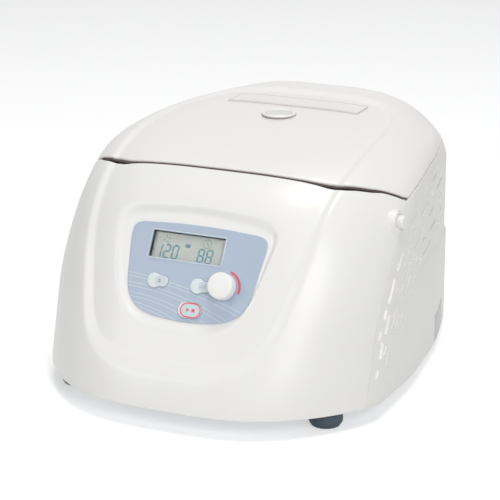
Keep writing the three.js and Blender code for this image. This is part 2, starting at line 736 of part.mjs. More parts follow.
function sidePanel(side) {
  const half = block([side > 0 ? 0 : -farOut, -farOut, -farOut], [side > 0 ? farOut : 0, farOut, farOut]);
  const sweep = acrossX(sweepShares.map(sideView), -farOut, farOut)
    .intersect(housingForm(-sweepRise)).subtract(cavity)
    .intersect(block([-halfWidth, -farOut, -farOut], [halfWidth, halfDepth, farOut]));
  const bosses = bossShares.map(([xShare, yShare]) => {
    const [x, y] = [xShare * halfWidth, yShare * halfDepth];
    const at = [side * x, y, basePlateBottom + basePlateThickness + gap];
    return bar(bossRadius, at, bossRadius * 4, "z", smallSides)
      .add(block([side > 0 ? x : -farOut, y - wall / 2, at[2]], [side > 0 ? farOut : -x, y + wall / 2,
        at[2] + bossRadius * 4]));
  });
  const inside = fuse(bosses).intersect(skinForm);
  return shell.intersect(partRegion(1)).add(sweep.intersect(partRegion(1))).add(inside)
    .intersect(half).intersect(belowSeam()).subtract(slotCutter(side)).subtract(collarHole);
}

function lidShell() {
  const rear = sculpted.intersect(block([-farOut, halfDepth - rearThickness, hubHeight], [farOut, farOut, farOut]));
  const posts = [-1, 1].flatMap((side) => lidPostShares.map(([x, y]) => {
    const bottom = lidLinerBottom + lidLinerThickness + gap;
    return bar(lidPostRadius, [side * x * halfWidth, y * halfDepth, bottom], crownHeight, "z", smallSides);
  }));
  const inside = fuse(posts).intersect(sculpted);
  const bore = bar(windowTube + gap, [0, windowY, lidLinerBottom + lidLinerRim], crownHeight, "z", roundSides);
  return shell.add(rear).intersect(aboveSeam()).add(inside).subtract(bore);
}

const windowSeat = skinPoint(0, THREE.MathUtils.radToDeg(
  Math.atan2(centreReach(60) * Math.sin(radians(60)), halfDepth - windowY)), recessDepth)[2];

function windowRing() {
  const low = windowSeat - wall;
  const seat = windowSeat + gap * 3;
  const top = seat + windowRingHeight;
  return turned([
    [windowBore, low], [windowTube, low], [windowTube, seat], [windowRingRadius, seat],
    [windowRingRadius - windowRingHeight / 3, top], [windowTube, top + windowRingHeight / 6], [windowBore, top],
  ], [0, windowY, 0], roundSides);
}

function windowLens() {
  return bar(windowBore - gap, [0, windowY, windowSeat + gap], lensThickness, "z", roundSides);
}

function labelFilm() {
  const rays = [labelFrontY, labelRearY].map((y) => {
    const a = Math.atan2(labelRise, halfDepth - y);
    return [halfDepth - farOut * Math.cos(a), hubHeight + farOut * Math.sin(a)];
  });
  const side = halfWidth * labelWidthShare;
  const fan = acrossX([[halfDepth, hubHeight], ...rays], -side, side);
  return skinLayer(recessDepth - gap - labelThickness, recessDepth - gap).intersect(fan);
}

// How far out the inside of the skin lies at a place on the side view, under a given inset
function roomAt(y, z, inset) {
  const angle = THREE.MathUtils.radToDeg(Math.atan2(z - hubHeight, halfDepth - y));
  const reach = Math.hypot(z - hubHeight, halfDepth - y);
  let low = 0;
  let high = 1;
  for (let k = 0; k < 24; k += 1) {
    const u = (low + high) / 2;
    const p = wrapPoint(u, angle, inset);
    if (Math.hypot(p[2] - hubHeight, halfDepth - p[1]) > reach) low = u;
    else high = u;
  }
  return low * (cheekAt(y) - inset);
}

// Outline of the liner, drawn in by an inset, that also clears the side panels as the lid swings up
function linerOutline(inset, frontY, rearY) {
  const level = lidLinerBottom + lidLinerThickness + lidLinerRim;
  const steps = 12;
  const swings = 6;
  const right = [];
  for (let i = 0; i <= steps; i += 1) {
    const y = frontY + ((rearY - frontY) * i) / steps;
    let room = roomAt(y, level, recessDepth + wall);
    for (let k = 1; k <= swings; k += 1) {
      const turn = radians((liftAngle * k) / swings);
      const back = (y - hingeY) * Math.cos(turn) + (level - hingeZ) * Math.sin(turn);
      const rise = (hingeY - y) * Math.sin(turn) + (level - hingeZ) * Math.cos(turn);
      if (rise < seamRise + lidLinerRim) room = Math.min(room, roomAt(hingeY + back, hingeZ + rise, wall));
    }
    right.push([room - lidLinerInset - inset, y]);
  }
  return [...right, ...right.map(([x, y]) => [-x, y]).reverse()];
}

function lidLiner() {
  const at = place([0, 0, lidLinerBottom]);
  const outer = linerOutline(0, lidLinerFrontY, lidLinerRearY);
  const inner = linerOutline(lidLinerRimWidth, lidLinerFrontY + lidLinerRimWidth,
    lidLinerRearY - lidLinerRimWidth);
  const hollow = extruded(inner, farOut, place([0, 0, lidLinerBottom + lidLinerThickness]));
  const sight = bar(windowTube, [0, windowY, lidLinerBottom - overrun], crownHeight, "z", roundSides);
  const top = lidLinerBottom + lidLinerThickness;
  const rests = [-1, 1].map((side) => {
    const middle = side * (knuckleX + knuckleLength * 1.75 + gap * 2);
    return block([middle - knuckleLength, hingeY - hingeArmReach - gap, top],
      [middle + knuckleLength, farOut, crownHeight]);
  });
  return extruded(outer, lidLinerThickness + lidLinerRim, at).subtract(hollow).subtract(sight)
    .subtract(fuse(rests));
}

function lidHook() {
  const top = lidLinerBottom - gap;
  const foot = box([hookFoot, hookWidth, hookThickness], [hookX, latchY, top - hookThickness / 2]);
  const blade = block([hookX - hookThickness / 2, latchY - hookWidth / 2, hookBottom],
    [hookX + hookThickness / 2, latchY + hookWidth / 2, top]);
  const notch = block([hookX - hookThickness, latchY - hookWidth, latchZ - sliderThickness],
    [hookX - hookThickness / 2 + hookNotch, latchY + hookWidth, latchZ + sliderThickness]);
  return foot.add(blade).subtract(notch);
}

function latchSlider() {
  const body = block([sliderInnerX, latchY - sliderWidth / 2, latchZ - sliderThickness / 2],
    [sliderOuterX, latchY + sliderWidth / 2, latchZ + sliderThickness / 2]);
  const hole = block(
    [sliderWindowInnerX, latchY - sliderWindow.width / 2, latchZ - sliderThickness],
    [sliderWindowOuterX, latchY + sliderWindow.width / 2, latchZ + sliderThickness],
  );
  return body.subtract(hole);
}

function releaseRod() {
  return bar(rodRadius, [sliderOuterX + gap, latchY, latchZ], buttonInnerX - sliderOuterX - 2 * gap, "x",
    smallSides);
}

function releaseButton() {
  const length = buttonTipX - buttonInnerX;
  const round = buttonRadius / 5;
  return turned([
    [0, 0], [buttonRadius, 0], [buttonRadius, length - round], [buttonRadius - round / 3, length - round / 3],
    [buttonRadius - round, length], [0, length],
  ], [buttonInnerX, latchY, latchZ], middleSides, new THREE.Matrix4(), "x");
}

function releaseCollar() {
  const length = collarOuterX - collarInnerX;
  const bore = buttonRadius + gap;
  const lip = (collarRadius - bore) / 3;
  return turned([
    [bore, 0], [collarRadius, 0], [collarRadius, length - lip], [collarRadius - lip, length], [bore, length],
  ], [collarInnerX, latchY, latchZ], middleSides, new THREE.Matrix4(), "x");
}

function latchGuide() {
  const top = deckBottom - gap;
  const half = sliderWidth / 2 + guideClearance;
  const innerX = sliderInnerX - releaseTravel - guideClearance - guideWall;
  const low = latchZ - sliderThickness / 2 - guideClearance;
  const body = block([innerX, latchY - half - guideWall, low - guideWall],
    [sliderOuterX + guideClearance + guideWall, latchY + half + guideWall, top]);
  const tunnel = block([innerX + guideWall, latchY - half, low],
    [sliderOuterX + guideClearance, latchY + half, latchZ + sliderThickness / 2 + guideClearance]);
  const rodHole = bar(rodRadius + guideClearance, [sliderOuterX - releaseTravel - gap, latchY, latchZ],
    farOut / 8, "x", smallSides);
  return body.subtract(tunnel).subtract(rodHole).subtract(hookWell(low - guideWall * 2, top + overrun));
}

// Clear way for the hook, shared by the guide and the deck
function hookWell(low, high) {
  const side = hookThickness / 2 + guideClearance * 2;
  const lead = hookWidth / 2 + guideClearance * 2;
  return block([hookX - side, latchY - lead - hookThickness, low], [hookX + side, latchY + lead, high]);
}

function topDeck() {
  const slab = block([-farOut, deckFrontShare * halfDepth, deckBottom], [farOut, halfDepth - rearThickness - gap,
    deckTop]).intersect(trimForm).subtract(shieldDish(recessDepth + wall + gap * 2, 1 + wall / halfWidth * 2))
    .subtract(panelDish(recessDepth * 2 + wall + gap * 2, 1 + wall / halfWidth * 3));
  const mouth = bar(bowlRadius + bowlSheet + gap, [0, chamberY, deckBottom - overrun], overrun * 4, "z",
    roundSides);
  const flangeSeat = bar(bowlFlange + gap, [0, chamberY, deckTop - bowlSheet], overrun, "z", roundSides);
  const footWell = block([hookX - hookFoot / 2 - guideClearance, latchY - hookWidth, deckBottom - overrun],
    [hookX + hookFoot / 2 + guideClearance, latchY + hookWidth, deckBottom + overrun * 2]);
  return slab.subtract(mouth).subtract(flangeSeat).subtract(collarHole).subtract(hookWell(deckBottom - overrun, deckBottom + overrun * 2))
    .subtract(footWell.intersect(block([-farOut, -farOut, deckTop - gap], [farOut, farOut, farOut])));
}

function chamberBowl() {
  const top = deckTop;
  const outer = bowlRadius + bowlSheet;
  const round = bowlSheet * 5;
  return turned([
    [bowlMouth, bowlFloor], [outer - round, bowlFloor], [outer, bowlFloor + round], [outer,
      top - bowlSheet + gap], [bowlFlange, top - bowlSheet + gap],
    [bowlFlange, top], [bowlRadius, top], [bowlRadius, bowlFloor + round],
    [bowlRadius - round, bowlFloor + bowlSheet],
    [bowlMouth, bowlFloor + bowlSheet],
  ], [0, chamberY, 0], roundSides);
}

function deckSeal() {
  const base = deckTop + gap;
  const top = base + sealHeight;
  const width = sealWidth;
  return turned([
    [sealRadius - width, base], [sealRadius, base], [sealRadius, base + sealHeight / 2],
    [sealRadius - width / 4, top], [sealRadius - (width * 3) / 4, top], [sealRadius - width, base + sealHeight / 2],
  ], [0, chamberY, 0], roundSides);
}

// Rotor: a flat disc with radial tube slots, closed at the rim by a rubber ring
function rotorDisc() {
  const top = rotorFloor + rotorWeb;
  const dish = rotorWeb / 3;
  const body = turned([
    [shaftRadius + gap, rotorFloor - rotorHubHeight], [rotorHubRadius, rotorFloor - rotorHubHeight],
    [rotorHubRadius, rotorFloor], [rotorRadius * 0.5, rotorFloor], [rotorRadius, rotorFloor + dish],
    [rotorRadius, rotorFloor + rimHeight], [rotorRadius - rimWidth, rotorFloor + rimHeight],
    [rotorRadius - rimWidth, top], [shaftRadius + gap, top],
  ], [0, chamberY, 0], roundSides);
  const reach = rotorRadius - rimWidth - gasketWidth;
  const slots = Array.from({ length: tubeCount }, (_, i) => {
    const frame = place([0, chamberY, 0], [0, 0, (i * 2 * Math.PI) / tubeCount]);
    const size = [reach - tubeSlotStart, tubeSlotWidth, tubeSlotDepth + overrun];
    return box(size, [(reach + tubeSlotStart) / 2, 0, top - tubeSlotDepth + size[2] / 2], frame);
  });
  return body.subtract(fuse(slots));
}

function rotorGasket() {
  const outer = rotorRadius - rimWidth - gap;
  const low = rotorFloor + rotorWeb + gap;
  return turned([
    [outer - gasketWidth, low], [outer, low], [outer, low + gasketHeight], [outer - gasketWidth,
      low + gasketHeight],
  ], [0, chamberY, 0], roundSides);
}

function rotorCover() {
  const low = rotorFloor + rotorWeb + gap;
  const edge = low + gasketHeight + gap;
  const r = coverRimRadius;
  return turned([
    [shaftRadius + gap, edge - coverDish], [r * 0.3, edge - coverDish], [r * 0.9, edge], [r, edge],
    [r, edge + coverThickness], [r * 0.9, edge + coverThickness],
    [r * 0.3, edge + coverThickness - coverDish], [shaftRadius + gap, edge + coverThickness - coverDish],
  ], [0, chamberY, 0], roundSides);
}

function clampNut() {
  const low = rotorFloor + rotorWeb + gasketHeight + coverThickness - coverDish + gap * 3;
  const body = turned([
    [0, low], [nutRadius, low], [nutRadius, low + nutHeight * 0.8], [nutRadius * 0.85, low + nutHeight],
    [0, low + nutHeight],
  ], [0, chamberY, 0], middleSides);
  const grips = Array.from({ length: nutGrips }, (_, i) => {
    const a = (i * 2 * Math.PI) / nutGrips;
    const at = [nutRadius * Math.cos(a), chamberY + nutRadius * Math.sin(a), low + nutHeight * 0.15];
    return bar(gripRadius, at, nutHeight * 2, "z", smallSides / 2);
  });
  return body.subtract(fuse(grips));
}

function motorShaft() {
  const top = rotorFloor + rotorWeb + gasketHeight + coverThickness - coverDish + gap * 2;
  const low = motorBottom + motorHeight + motorCapHeight + gap;
  return bar(shaftRadius, [0, chamberY, low], top - low, "z", middleSides);
}

function motor() {
  const top = motorBottom + motorHeight;
  const r = motorRadius;
  const lip = r / 10;
  return turned([
    [0, motorBottom], [r - lip, motorBottom], [r, motorBottom + lip], [r, top - lip * 4],
    [r - lip / 2, top - lip * 3.5], [r - lip / 2, top - lip], [r - lip * 1.5, top], [motorCapRadius, top],
    [motorCapRadius, top + motorCapHeight], [0, top + motorCapHeight],
  ], [0, chamberY, 0], middleSides);
}

function motorMount() {
  const top = motorBottom - gap;
  const side = mountSide / 2;
  const c = mountCorner;
  const outline = [
    [-side + c, -side], [side - c, -side], [side, -side + c], [side, side - c], [side - c, side],
    [-side + c, side], [-side, side - c], [-side, -side + c],
  ];
  return extruded(outline, mountThickness, place([0, chamberY, top - mountThickness]));
}

function damper(sx, sy) {
  const low = basePlateBottom + basePlateThickness + gap;
  const high = motorBottom - mountThickness - 2 * gap;
  const third = (high - low) / 3;
  return turned([
    [0, low], [damperRadius, low], [damperWaist, low + third], [damperWaist, high - third], [damperRadius, high],
    [0, high],
  ], [sx * (mountSide / 2 - damperInset), chamberY + sy * (mountSide / 2 - damperInset), 0], smallSides);
}

function basePlate() {
  const slab = block([-farOut, basePlateInset - halfDepth, basePlateBottom],
    [farOut, halfDepth - basePlateInset, basePlateBottom + basePlateThickness])
    .intersect(trimForm);
  const holes = feet.map(({ x, y }) => bar(screwRadius + gap, [x, y, basePlateBottom - overrun],
    overrun * 3, "z", smallSides));
  return slab.subtract(fuse(holes));
}

function foot({ x, y }) {
  const top = basePlateBottom - gap;
  const bore = screwRadius + gap;
  return turned([
    [bore, footRecess], [screwHeadRadius + gap * 2, footRecess], [screwHeadRadius + gap * 2, 0],
    [footTopRadius, 0], [footRadius, footCrown], [footRadius, footHeight / 2], [footTopRadius, top], [bore, top],
  ], [x, y, 0], middleSides);
}

function footScrew({ x, y }) {
  const headLow = footRecess - gap;
  const head = bar(screwHeadRadius, [x, y, headLow - screwHeadHeight], screwHeadHeight, "z", smallSides);
  const length = basePlateBottom + basePlateThickness - headLow;
  return head.add(bar(screwRadius, [x, y, headLow - gap], length + gap + screwRadius, "z", smallSides));
}

function rearPanel() {
  const plateForm = block([-farOut, halfDepth - rearThickness, rearBottom], [farOut, halfDepth, rearTop])
    .intersect(trimForm);
  const inletCut = block(
    [inlet.x - inlet.width / 2 - gap, -overrun + halfDepth - rearThickness, inlet.z - inlet.height / 2 - gap],
    [inlet.x + inlet.width / 2 + gap, halfDepth + overrun, inlet.z + inlet.height / 2 + gap],
  );
  const fuseCut = block(
    [inlet.x - fuseDrawer.width / 2 - gap, -overrun + halfDepth - rearThickness,
      inlet.z + fuseDrawer.rise - fuseDrawer.height / 2 - gap],
    [inlet.x + fuseDrawer.width / 2 + gap, halfDepth + overrun,
      inlet.z + fuseDrawer.rise + fuseDrawer.height / 2 + gap],
  );
  const side = powerSwitch;
  const switchCut = block(
    [side.x - side.width / 2 + side.flange, -overrun + halfDepth - rearThickness,
      side.z - side.height / 2 + side.flange],
    [side.x + side.width / 2 - side.flange, halfDepth + overrun, side.z + side.height / 2 - side.flange],
  );
  return plateForm.subtract(inletCut).subtract(fuseCut).subtract(switchCut);
}

// Mains inlet: a moulded socket with three flat pins, all inside the rear face line
function mainsInlet() {
  const back = halfDepth - gap;
  const front = back - inlet.depth;
  const body = block([inlet.x - inlet.width / 2, front, inlet.z - inlet.height / 2],
    [inlet.x + inlet.width / 2, back, inlet.z + inlet.height / 2]);
  const flangeY = halfDepth - rearThickness - gap;
  const flange = block([inlet.x - inlet.flangeWidth / 2, flangeY - inletFlange, inlet.z - inlet.flangeHeight / 2],
    [inlet.x + inlet.flangeWidth / 2, flangeY, inlet.z + inlet.flangeHeight / 2]);
  const well = block([inlet.x - inlet.width / 2 + inletWall, back - inletSocketDepth,
    inlet.z - inlet.height / 2 + inletWall],
    [inlet.x + inlet.width / 2 - inletWall, back + overrun, inlet.z + inlet.height / 2 - inletWall]);
  const pins = [-1, 0, 1].map((i) => block(
    [inlet.x + i * pinSpacing - pinThickness / 2, back - inletSocketDepth - gap,
      inlet.z - pinWidth / 2 + (i === 0 ? pinDrop : -pinDrop / 2)],
    [inlet.x + i * pinSpacing + pinThickness / 2, back - inletSocketDepth + pinLength,
      inlet.z + pinWidth / 2 + (i === 0 ? pinDrop : -pinDrop / 2)],
  ));
  const drawerCut = block([-farOut, -farOut, inlet.z + fuseDrawer.rise - fuseDrawer.height / 2 - gap],
    [farOut, farOut, farOut]);
  return body.add(flange).subtract(well).add(fuse(pins)).subtract(drawerCut);
}

function fuseDrawerSolid() {
  const back = halfDepth - gap;
  const z = inlet.z + fuseDrawer.rise;
  const body = block([inlet.x - fuseDrawer.width / 2, back - fuseDrawer.depth, z - fuseDrawer.height / 2],
    [inlet.x + fuseDrawer.width / 2, back, z + fuseDrawer.height / 2]);
  const pull = block([inlet.x - fuseDrawer.width / 4, back - rearThickness / 2, z - fuseDrawer.height / 4],
    [inlet.x + fuseDrawer.width / 4, back + overrun, z]);
  return body.subtract(pull);
}

const rockerAxisY = halfDepth - rockerLeaf - gap;

function switchFrame() {
  const s = powerSwitch;
  const back = halfDepth - gap;
  const body = block([s.x - s.width / 2 + s.flange + gap, back - s.depth, s.z - s.height / 2 + s.flange + gap],
    [s.x + s.width / 2 - s.flange - gap, back, s.z + s.height / 2 - s.flange - gap]);
  const flangeY = halfDepth - rearThickness - gap;
  const flange = block([s.x - s.width / 2, flangeY - s.flange, s.z - s.height / 2],
    [s.x + s.width / 2, flangeY, s.z + s.height / 2]);
  const well = block([s.x - rockerWidth / 2 - gap, back - rockerLeaf * 2, s.z - rockerHeight / 2 - gap * 2],
    [s.x + rockerWidth / 2 + gap, back + overrun, s.z + rockerHeight / 2 + gap * 2]);
  return body.add(flange).subtract(well);
}

function switchRocker() {
  const s = powerSwitch;
  const half = rockerHeight / 2;
  const proud = rockerLeaf * 0.75;
  const outline = [
    [0, -half], [proud * 0.75, -half], [proud * 0.35, 0], [proud * 0.75, half], [0, half],
      [-rockerLeaf * 0.6, half * 0.3],
    [-rockerLeaf * 0.6, -half * 0.3],
  ].map((p) => {
    const tilted = new THREE.Vector2(...p).rotateAround(new THREE.Vector2(), -radians(rockerAngle));
    return [rockerAxisY + tilted.x, s.z + tilted.y];
  });
  return acrossX(outline, s.x - rockerWidth / 2, s.x + rockerWidth / 2);
}

function hingeBracket(side) {
  const x = side * knuckleX;
  const length = knuckleLength;
  const start = side > 0 ? x : x - length;
  const low = deckTop + gap;
  const foot = block([start, hingeY - bracketDepth / 2, low], [start + length, hingeY + bracketDepth / 2, hingeZ]);
  const barrel = bar(barrelRadius, [start, hingeY, hingeZ], length, "x", smallSides);
  const bore = bar(pinRadius + gap, [start - overrun, hingeY, hingeZ], length + overrun * 2, "x", smallSides);
  return foot.add(barrel).subtract(bore);
}

function hingeArm(side) {
  const inner = knuckleX + knuckleLength + gap * 2;
  const length = knuckleLength * 1.5;
  const start = side > 0 ? inner : -inner - length;
  const low = lidLinerBottom + lidLinerThickness + gap;
  const leaf = block([start, hingeY - hingeArmReach, low], [start + length, hingeY, low + hingeArmThickness]);
  const barrel = bar(barrelRadius, [start, hingeY, hingeZ], length, "x", smallSides);
  const bore = bar(pinRadius + gap, [start - overrun, hingeY, hingeZ], length + overrun * 2, "x", smallSides);
  return leaf.add(barrel).subtract(bore);
}

function hingePin(side) {
  const length = knuckleLength * 2.5 + gap * 2;
  const start = side > 0 ? knuckleX : -knuckleX - length;
  return bar(pinRadius, [start, hingeY, hingeZ], length, "x", smallSides);
}

// Control panel pieces
function panelOverlay() {
  const outline = skinLoop(overlayShares, panelCentreX, loopPoints.panel);
  const film = skinLayer(panelFloor - gap - overlayThickness, panelFloor - gap);
  return film.intersect(skinPlug([outline], [recessDepth])).subtract(panelOpenings());
}

function lcdWindow() {
  const size = [lcd.width - 2 * gap, lcd.height - 2 * gap, lcdWindowThickness];
  return box(size, [0, 0, -lcdWindowSink - lcdWindowThickness / 2], lcdFrame);
}

function lcdModule() {
  const front = -lcdWindowSink - lcdWindowThickness - gap;
  const depth = boardDepth * 2;
  const back = box([boardWidth * 2, boardHeight * 2, depth], [0, 0, -boardDepth - depth / 2 + gap], panelFrame);
  return box([lcd.width - 2 * gap, lcd.height - 2 * gap, depth], [0, 0, front - depth / 2],
    lcdFrame).subtract(back);
}

function controlBoard() {
  const frame = panelFrame;
  const boardTop = -boardDepth;
  const sheet = box([boardWidth, boardHeight, boardThickness], [0, 0, boardTop - boardThickness / 2], frame);
  const inverse = panelFrame.clone().invert();
  const onBoard = (matrix) => new THREE.Vector3().setFromMatrixPosition(matrix).applyMatrix4(inverse);
  const switches = keyFrames.map((matrix) => {
    const p = onBoard(matrix);
    const top = p.z - wall - keySeat - keyLipThickness - keyTravel - gap;
    return box([switchSide, switchSide, top - boardTop + gap], [p.x, p.y, (top + boardTop) / 2], frame);
  });
  const p = onBoard(knobFrame);
  const top = p.z - wall - keySeat;
  const encoder = box([encoderSide, encoderSide, top - boardTop + gap], [p.x, p.y, (top + boardTop) / 2], frame)
    .subtract(bar(knobShaftRadius + gap, [0, 0, -boardDepth], boardDepth * 2, "z", smallSides, knobFrame));
  return fuse([sheet, ...switches, encoder]);
}

function keyCap(key, i) {
  const lipLow = -wall - keySeat - keyLipThickness;
  const frame = keyFrames[i];
  return keyForm(key, 0, lipLow, keyRise, frame).add(keyForm(key, keyLip, lipLow, lipLow + keyLipThickness, frame));
}

function knob() {
  const low = overlayThickness + gap * 3;
  const r = knobRadius;
  const h = knobHeight;
  const bore = knobShaftRadius + gap;
  return turned([
    [0, low + h * 0.7], [bore, low + h * 0.7], [bore, low], [r * 0.97, low], [r, low + h * 0.08], [r * 0.93,
      low + h * 0.78],
    [r * 0.84, low + h * 0.9], [r * 0.6, low + h * 0.975], [0, low + h],
  ], [0, 0, 0], roundSides, knobFrame);
}

function knobShaft() {
  const low = -wall - gap * 10;
  const high = overlayThickness + gap * 2 + knobHeight * 0.7;
  return bar(knobShaftRadius, [0, 0, low], high - low, "z", smallSides, knobFrame);
}

// Power board with its can, cooling fins and reservoir, on four moulded pegs
function powerBoardSolid() {
  const b = powerBoard;
  const top = b.bottom + b.thickness;
  const sheet = block([b.x - b.width / 2, b.y - b.depth / 2, b.bottom], [b.x + b.width / 2,
    b.y + b.depth / 2, top]);
  const canX = b.x - b.width / 3;
  const can = block([canX - coilCan.width / 2, b.y - coilCan.depth / 2, top - gap],
    [canX + coilCan.width / 2, b.y + coilCan.depth / 2,
    top + coilCan.height]);
  const f = coolingFins;
  const finX = b.x + b.width / 4;
  const sink = block([finX - f.width / 2, b.y - f.depth / 2, top - gap], [finX + f.width / 2,
    b.y + f.depth / 2, top + f.height]);
  const slots = Array.from({ length: f.count }, (_, i) => {
    const x = finX - f.width / 2 + ((i + 1) * f.width) / (f.count + 1);
    return block([x - f.slot / 2, b.y - f.depth, top + f.height / 5], [x + f.slot / 2, b.y + f.depth / 4,
      top + f.height * 2]);
  });
  const reservoir = bar(capCan.radius, [b.x, b.y, top - gap], capCan.height, "z", middleSides);
  const pegs = [-1, 1].flatMap((sx) => [-1, 1].map((sy) => {
    const at = [b.x + sx * (b.width / 2 - capCan.radius / 2), b.y + sy * (b.depth / 2 - capCan.radius / 2),
      basePlateBottom + basePlateThickness + gap];
    return bar(boardPostRadius, at, b.bottom - at[2] + gap, "z", smallSides);
  }));
  return fuse([sheet, can, sink.subtract(fuse(slots)), reservoir, ...pegs]);
}

function ratingPlate() {
  const p = plate;
  const [front, rear] = plateShares.map((share) => share * halfDepth);
  const frame = block([0, front, p.bottom], [farOut, rear, p.top]);
  const outer = housingForm(-sweepRise - gap - p.thickness);
  return frame.intersect(outer).subtract(housingForm(-sweepRise - gap));
}

addNode("front_casing", frontCasing(), "shell");
addNode("side_panel_left", sidePanel(-1), "side");
addNode("side_panel_right", sidePanel(1), "side");
addNode("lid_shell", lidShell(), "lid");
addNode("lid_liner", lidLiner(), "side");
addNode("lid_hook", lidHook(), "zinc");
addNode("window_ring", windowRing(), "lid");
addNode("window_lens", windowLens(), "clear");
addNode("label_film", labelFilm(), "key");
addNode("top_deck", topDeck(), "side");
addNode("deck_seal", deckSeal(), "rubber");
addNode("chamber_bowl", chamberBowl(), "steel");
addNode("rotor_disc", rotorDisc(), "aluminium");
addNode("rotor_gasket", rotorGasket(), "rubber");
addNode("rotor_cover", rotorCover(), "clear");
addNode("clamp_nut", clampNut(), "black");
addNode("motor_shaft", motorShaft(), "steel");
addNode("motor", motor(), "zinc");
addNode("motor_mount", motorMount(), "zinc");
[["front_left", -1, -1], ["front_right", 1, -1], ["rear_left", -1, 1], ["rear_right", 1, 1]].forEach(
  ([name, sx, sy]) => addNode("damper_" + name, damper(sx, sy), "rubber"),
);
addNode("base_plate", basePlate(), "zinc");
feet.forEach((f) => {
  addNode("foot_" + f.name, foot(f), "rubber");
  addNode("foot_screw_" + f.name, footScrew(f), "steel");
});
addNode("rear_panel", rearPanel(), "side");
addNode("mains_inlet", mainsInlet(), "black");
addNode("fuse_drawer", fuseDrawerSolid(), "black");
addNode("power_switch_frame", switchFrame(), "black");
addNode("power_switch_rocker", switchRocker(), "black");
for (const [name, side] of [["left", -1], ["right", 1]]) {
  addNode("hinge_bracket_" + name, hingeBracket(side), "zinc");
  addNode("hinge_arm_" + name, hingeArm(side), "zinc");
  addNode("hinge_pin_" + name, hingePin(side), "steel");
}
addNode("release_collar", releaseCollar(), "shell");
addNode("release_button", releaseButton(), "knob");
addNode("release_rod", releaseRod(), "steel");
addNode("latch_slider", latchSlider(), "zinc");
addNode("latch_guide", latchGuide(), "black");
addNode("panel_overlay", panelOverlay(), "film");
addNode("lcd_window", lcdWindow(), "clear");
addNode("lcd_module", lcdModule(), "lcd");
addNode("control_board", controlBoard(), "board");
keys.forEach((key, i) => addNode(key.name, keyCap(key, i), "key"));
addNode("knob", knob(), "knob");
addNode("knob_shaft", knobShaft(), "steel");
addNode("power_board", powerBoardSolid(), "board");
addNode("rating_plate", ratingPlate(), "grey");

export default group;
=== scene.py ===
"""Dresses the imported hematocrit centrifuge: moulded skins, printed panel, glass, rubber, light and camera."""

from __future__ import annotations

import json
import logging
import math
from bisect import bisect_right
from dataclasses import dataclass
from enum import Enum
from functools import cache
from typing import Callable, Iterable, Sequence

import bmesh
import bpy
import numpy as np
from mathutils import Matrix, Vector

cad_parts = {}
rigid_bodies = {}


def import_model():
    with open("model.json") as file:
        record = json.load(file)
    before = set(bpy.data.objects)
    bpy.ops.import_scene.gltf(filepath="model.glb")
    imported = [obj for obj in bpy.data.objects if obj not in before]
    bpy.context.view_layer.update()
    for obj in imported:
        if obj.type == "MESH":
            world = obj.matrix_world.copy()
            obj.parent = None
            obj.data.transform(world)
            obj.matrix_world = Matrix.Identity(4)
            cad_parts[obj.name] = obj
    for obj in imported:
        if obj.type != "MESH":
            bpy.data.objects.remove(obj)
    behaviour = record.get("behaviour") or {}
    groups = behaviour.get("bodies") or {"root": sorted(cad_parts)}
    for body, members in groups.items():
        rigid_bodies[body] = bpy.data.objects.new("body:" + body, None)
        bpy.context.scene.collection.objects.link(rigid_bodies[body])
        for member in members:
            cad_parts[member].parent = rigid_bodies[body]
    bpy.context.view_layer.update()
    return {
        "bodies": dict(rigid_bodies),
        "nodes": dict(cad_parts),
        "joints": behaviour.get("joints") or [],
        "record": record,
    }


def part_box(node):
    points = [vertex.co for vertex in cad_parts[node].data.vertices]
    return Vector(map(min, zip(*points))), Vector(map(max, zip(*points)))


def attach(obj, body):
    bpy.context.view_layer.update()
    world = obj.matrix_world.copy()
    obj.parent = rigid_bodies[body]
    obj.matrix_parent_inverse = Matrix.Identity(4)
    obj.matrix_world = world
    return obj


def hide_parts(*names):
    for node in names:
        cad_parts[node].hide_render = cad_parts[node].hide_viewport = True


LOG = logging.getLogger("centrifuge")
MM = 0.001
Pair = tuple[float, float]
Line = Callable[[float], float]
RIM_SHARES = (0, 0.02, 0.1, 0.25, 0.5, 1)


# Shared geometry helpers


class HermiteCurve:
    """A smooth curve through knots of place and value."""

    def __init__(self, knots: Sequence[Pair]) -> None:
        """Stores the knots and the slope at each.

        Args:
            knots: pairs of place and value, places rising.
        """
        self.xs = [k[0] for k in knots]
        self.ys = [k[1] for k in knots]
        steps = [
            (self.ys[i + 1] - self.ys[i]) / (self.xs[i + 1] - self.xs[i])
            for i in range(len(knots) - 1)
        ]
        inner = [(a + b) / 2 for a, b in zip(steps, steps[1:])]
        self.slopes = [steps[0], *inner, steps[-1]]

    def __call__(self, place: float) -> float:
        """Returns the value at a place, held flat past the end knots."""
        xs, ys, slopes = self.xs, self.ys, self.slopes
        at = min(max(place, xs[0]), xs[-1])
        low = min(bisect_right(xs, at), len(xs) - 1) - 1
        width = xs[low + 1] - xs[low]
        s = (at - xs[low]) / width
        rest = 1 - s
        return (
            rest * rest * (1 + 2 * s) * ys[low]
            + s * s * (3 - 2 * s) * ys[low + 1]
            + s * rest * width * (rest * slopes[low] - s * slopes[low + 1])
        )

    def smoothed(self, step: float, rounds: int) -> "HermiteCurve":
        """Returns the curve resampled evenly and softened, with its ends kept.

        Args:
            step: spacing of the new knots.
            rounds: how many times each knot is averaged with its neighbours.
        """
        count = max(4, round((self.xs[-1] - self.xs[0]) / step))
        xs = [self.xs[0] + (self.xs[-1] - self.xs[0]) * i / count for i in range(count + 1)]
        ys = [self(x) for x in xs]
        for _ in range(rounds):
            ys = [ys[0], *[(a + 2 * b + c) / 4 for a, b, c in zip(ys, ys[1:], ys[2:])], ys[-1]]
        return HermiteCurve(list(zip(xs, ys)))


def smooth_step(t: float) -> float:
    """Returns an even ease from 0 to 1."""
    t = min(max(t, 0.0), 1.0)
    return t * t * (3 - 2 * t)


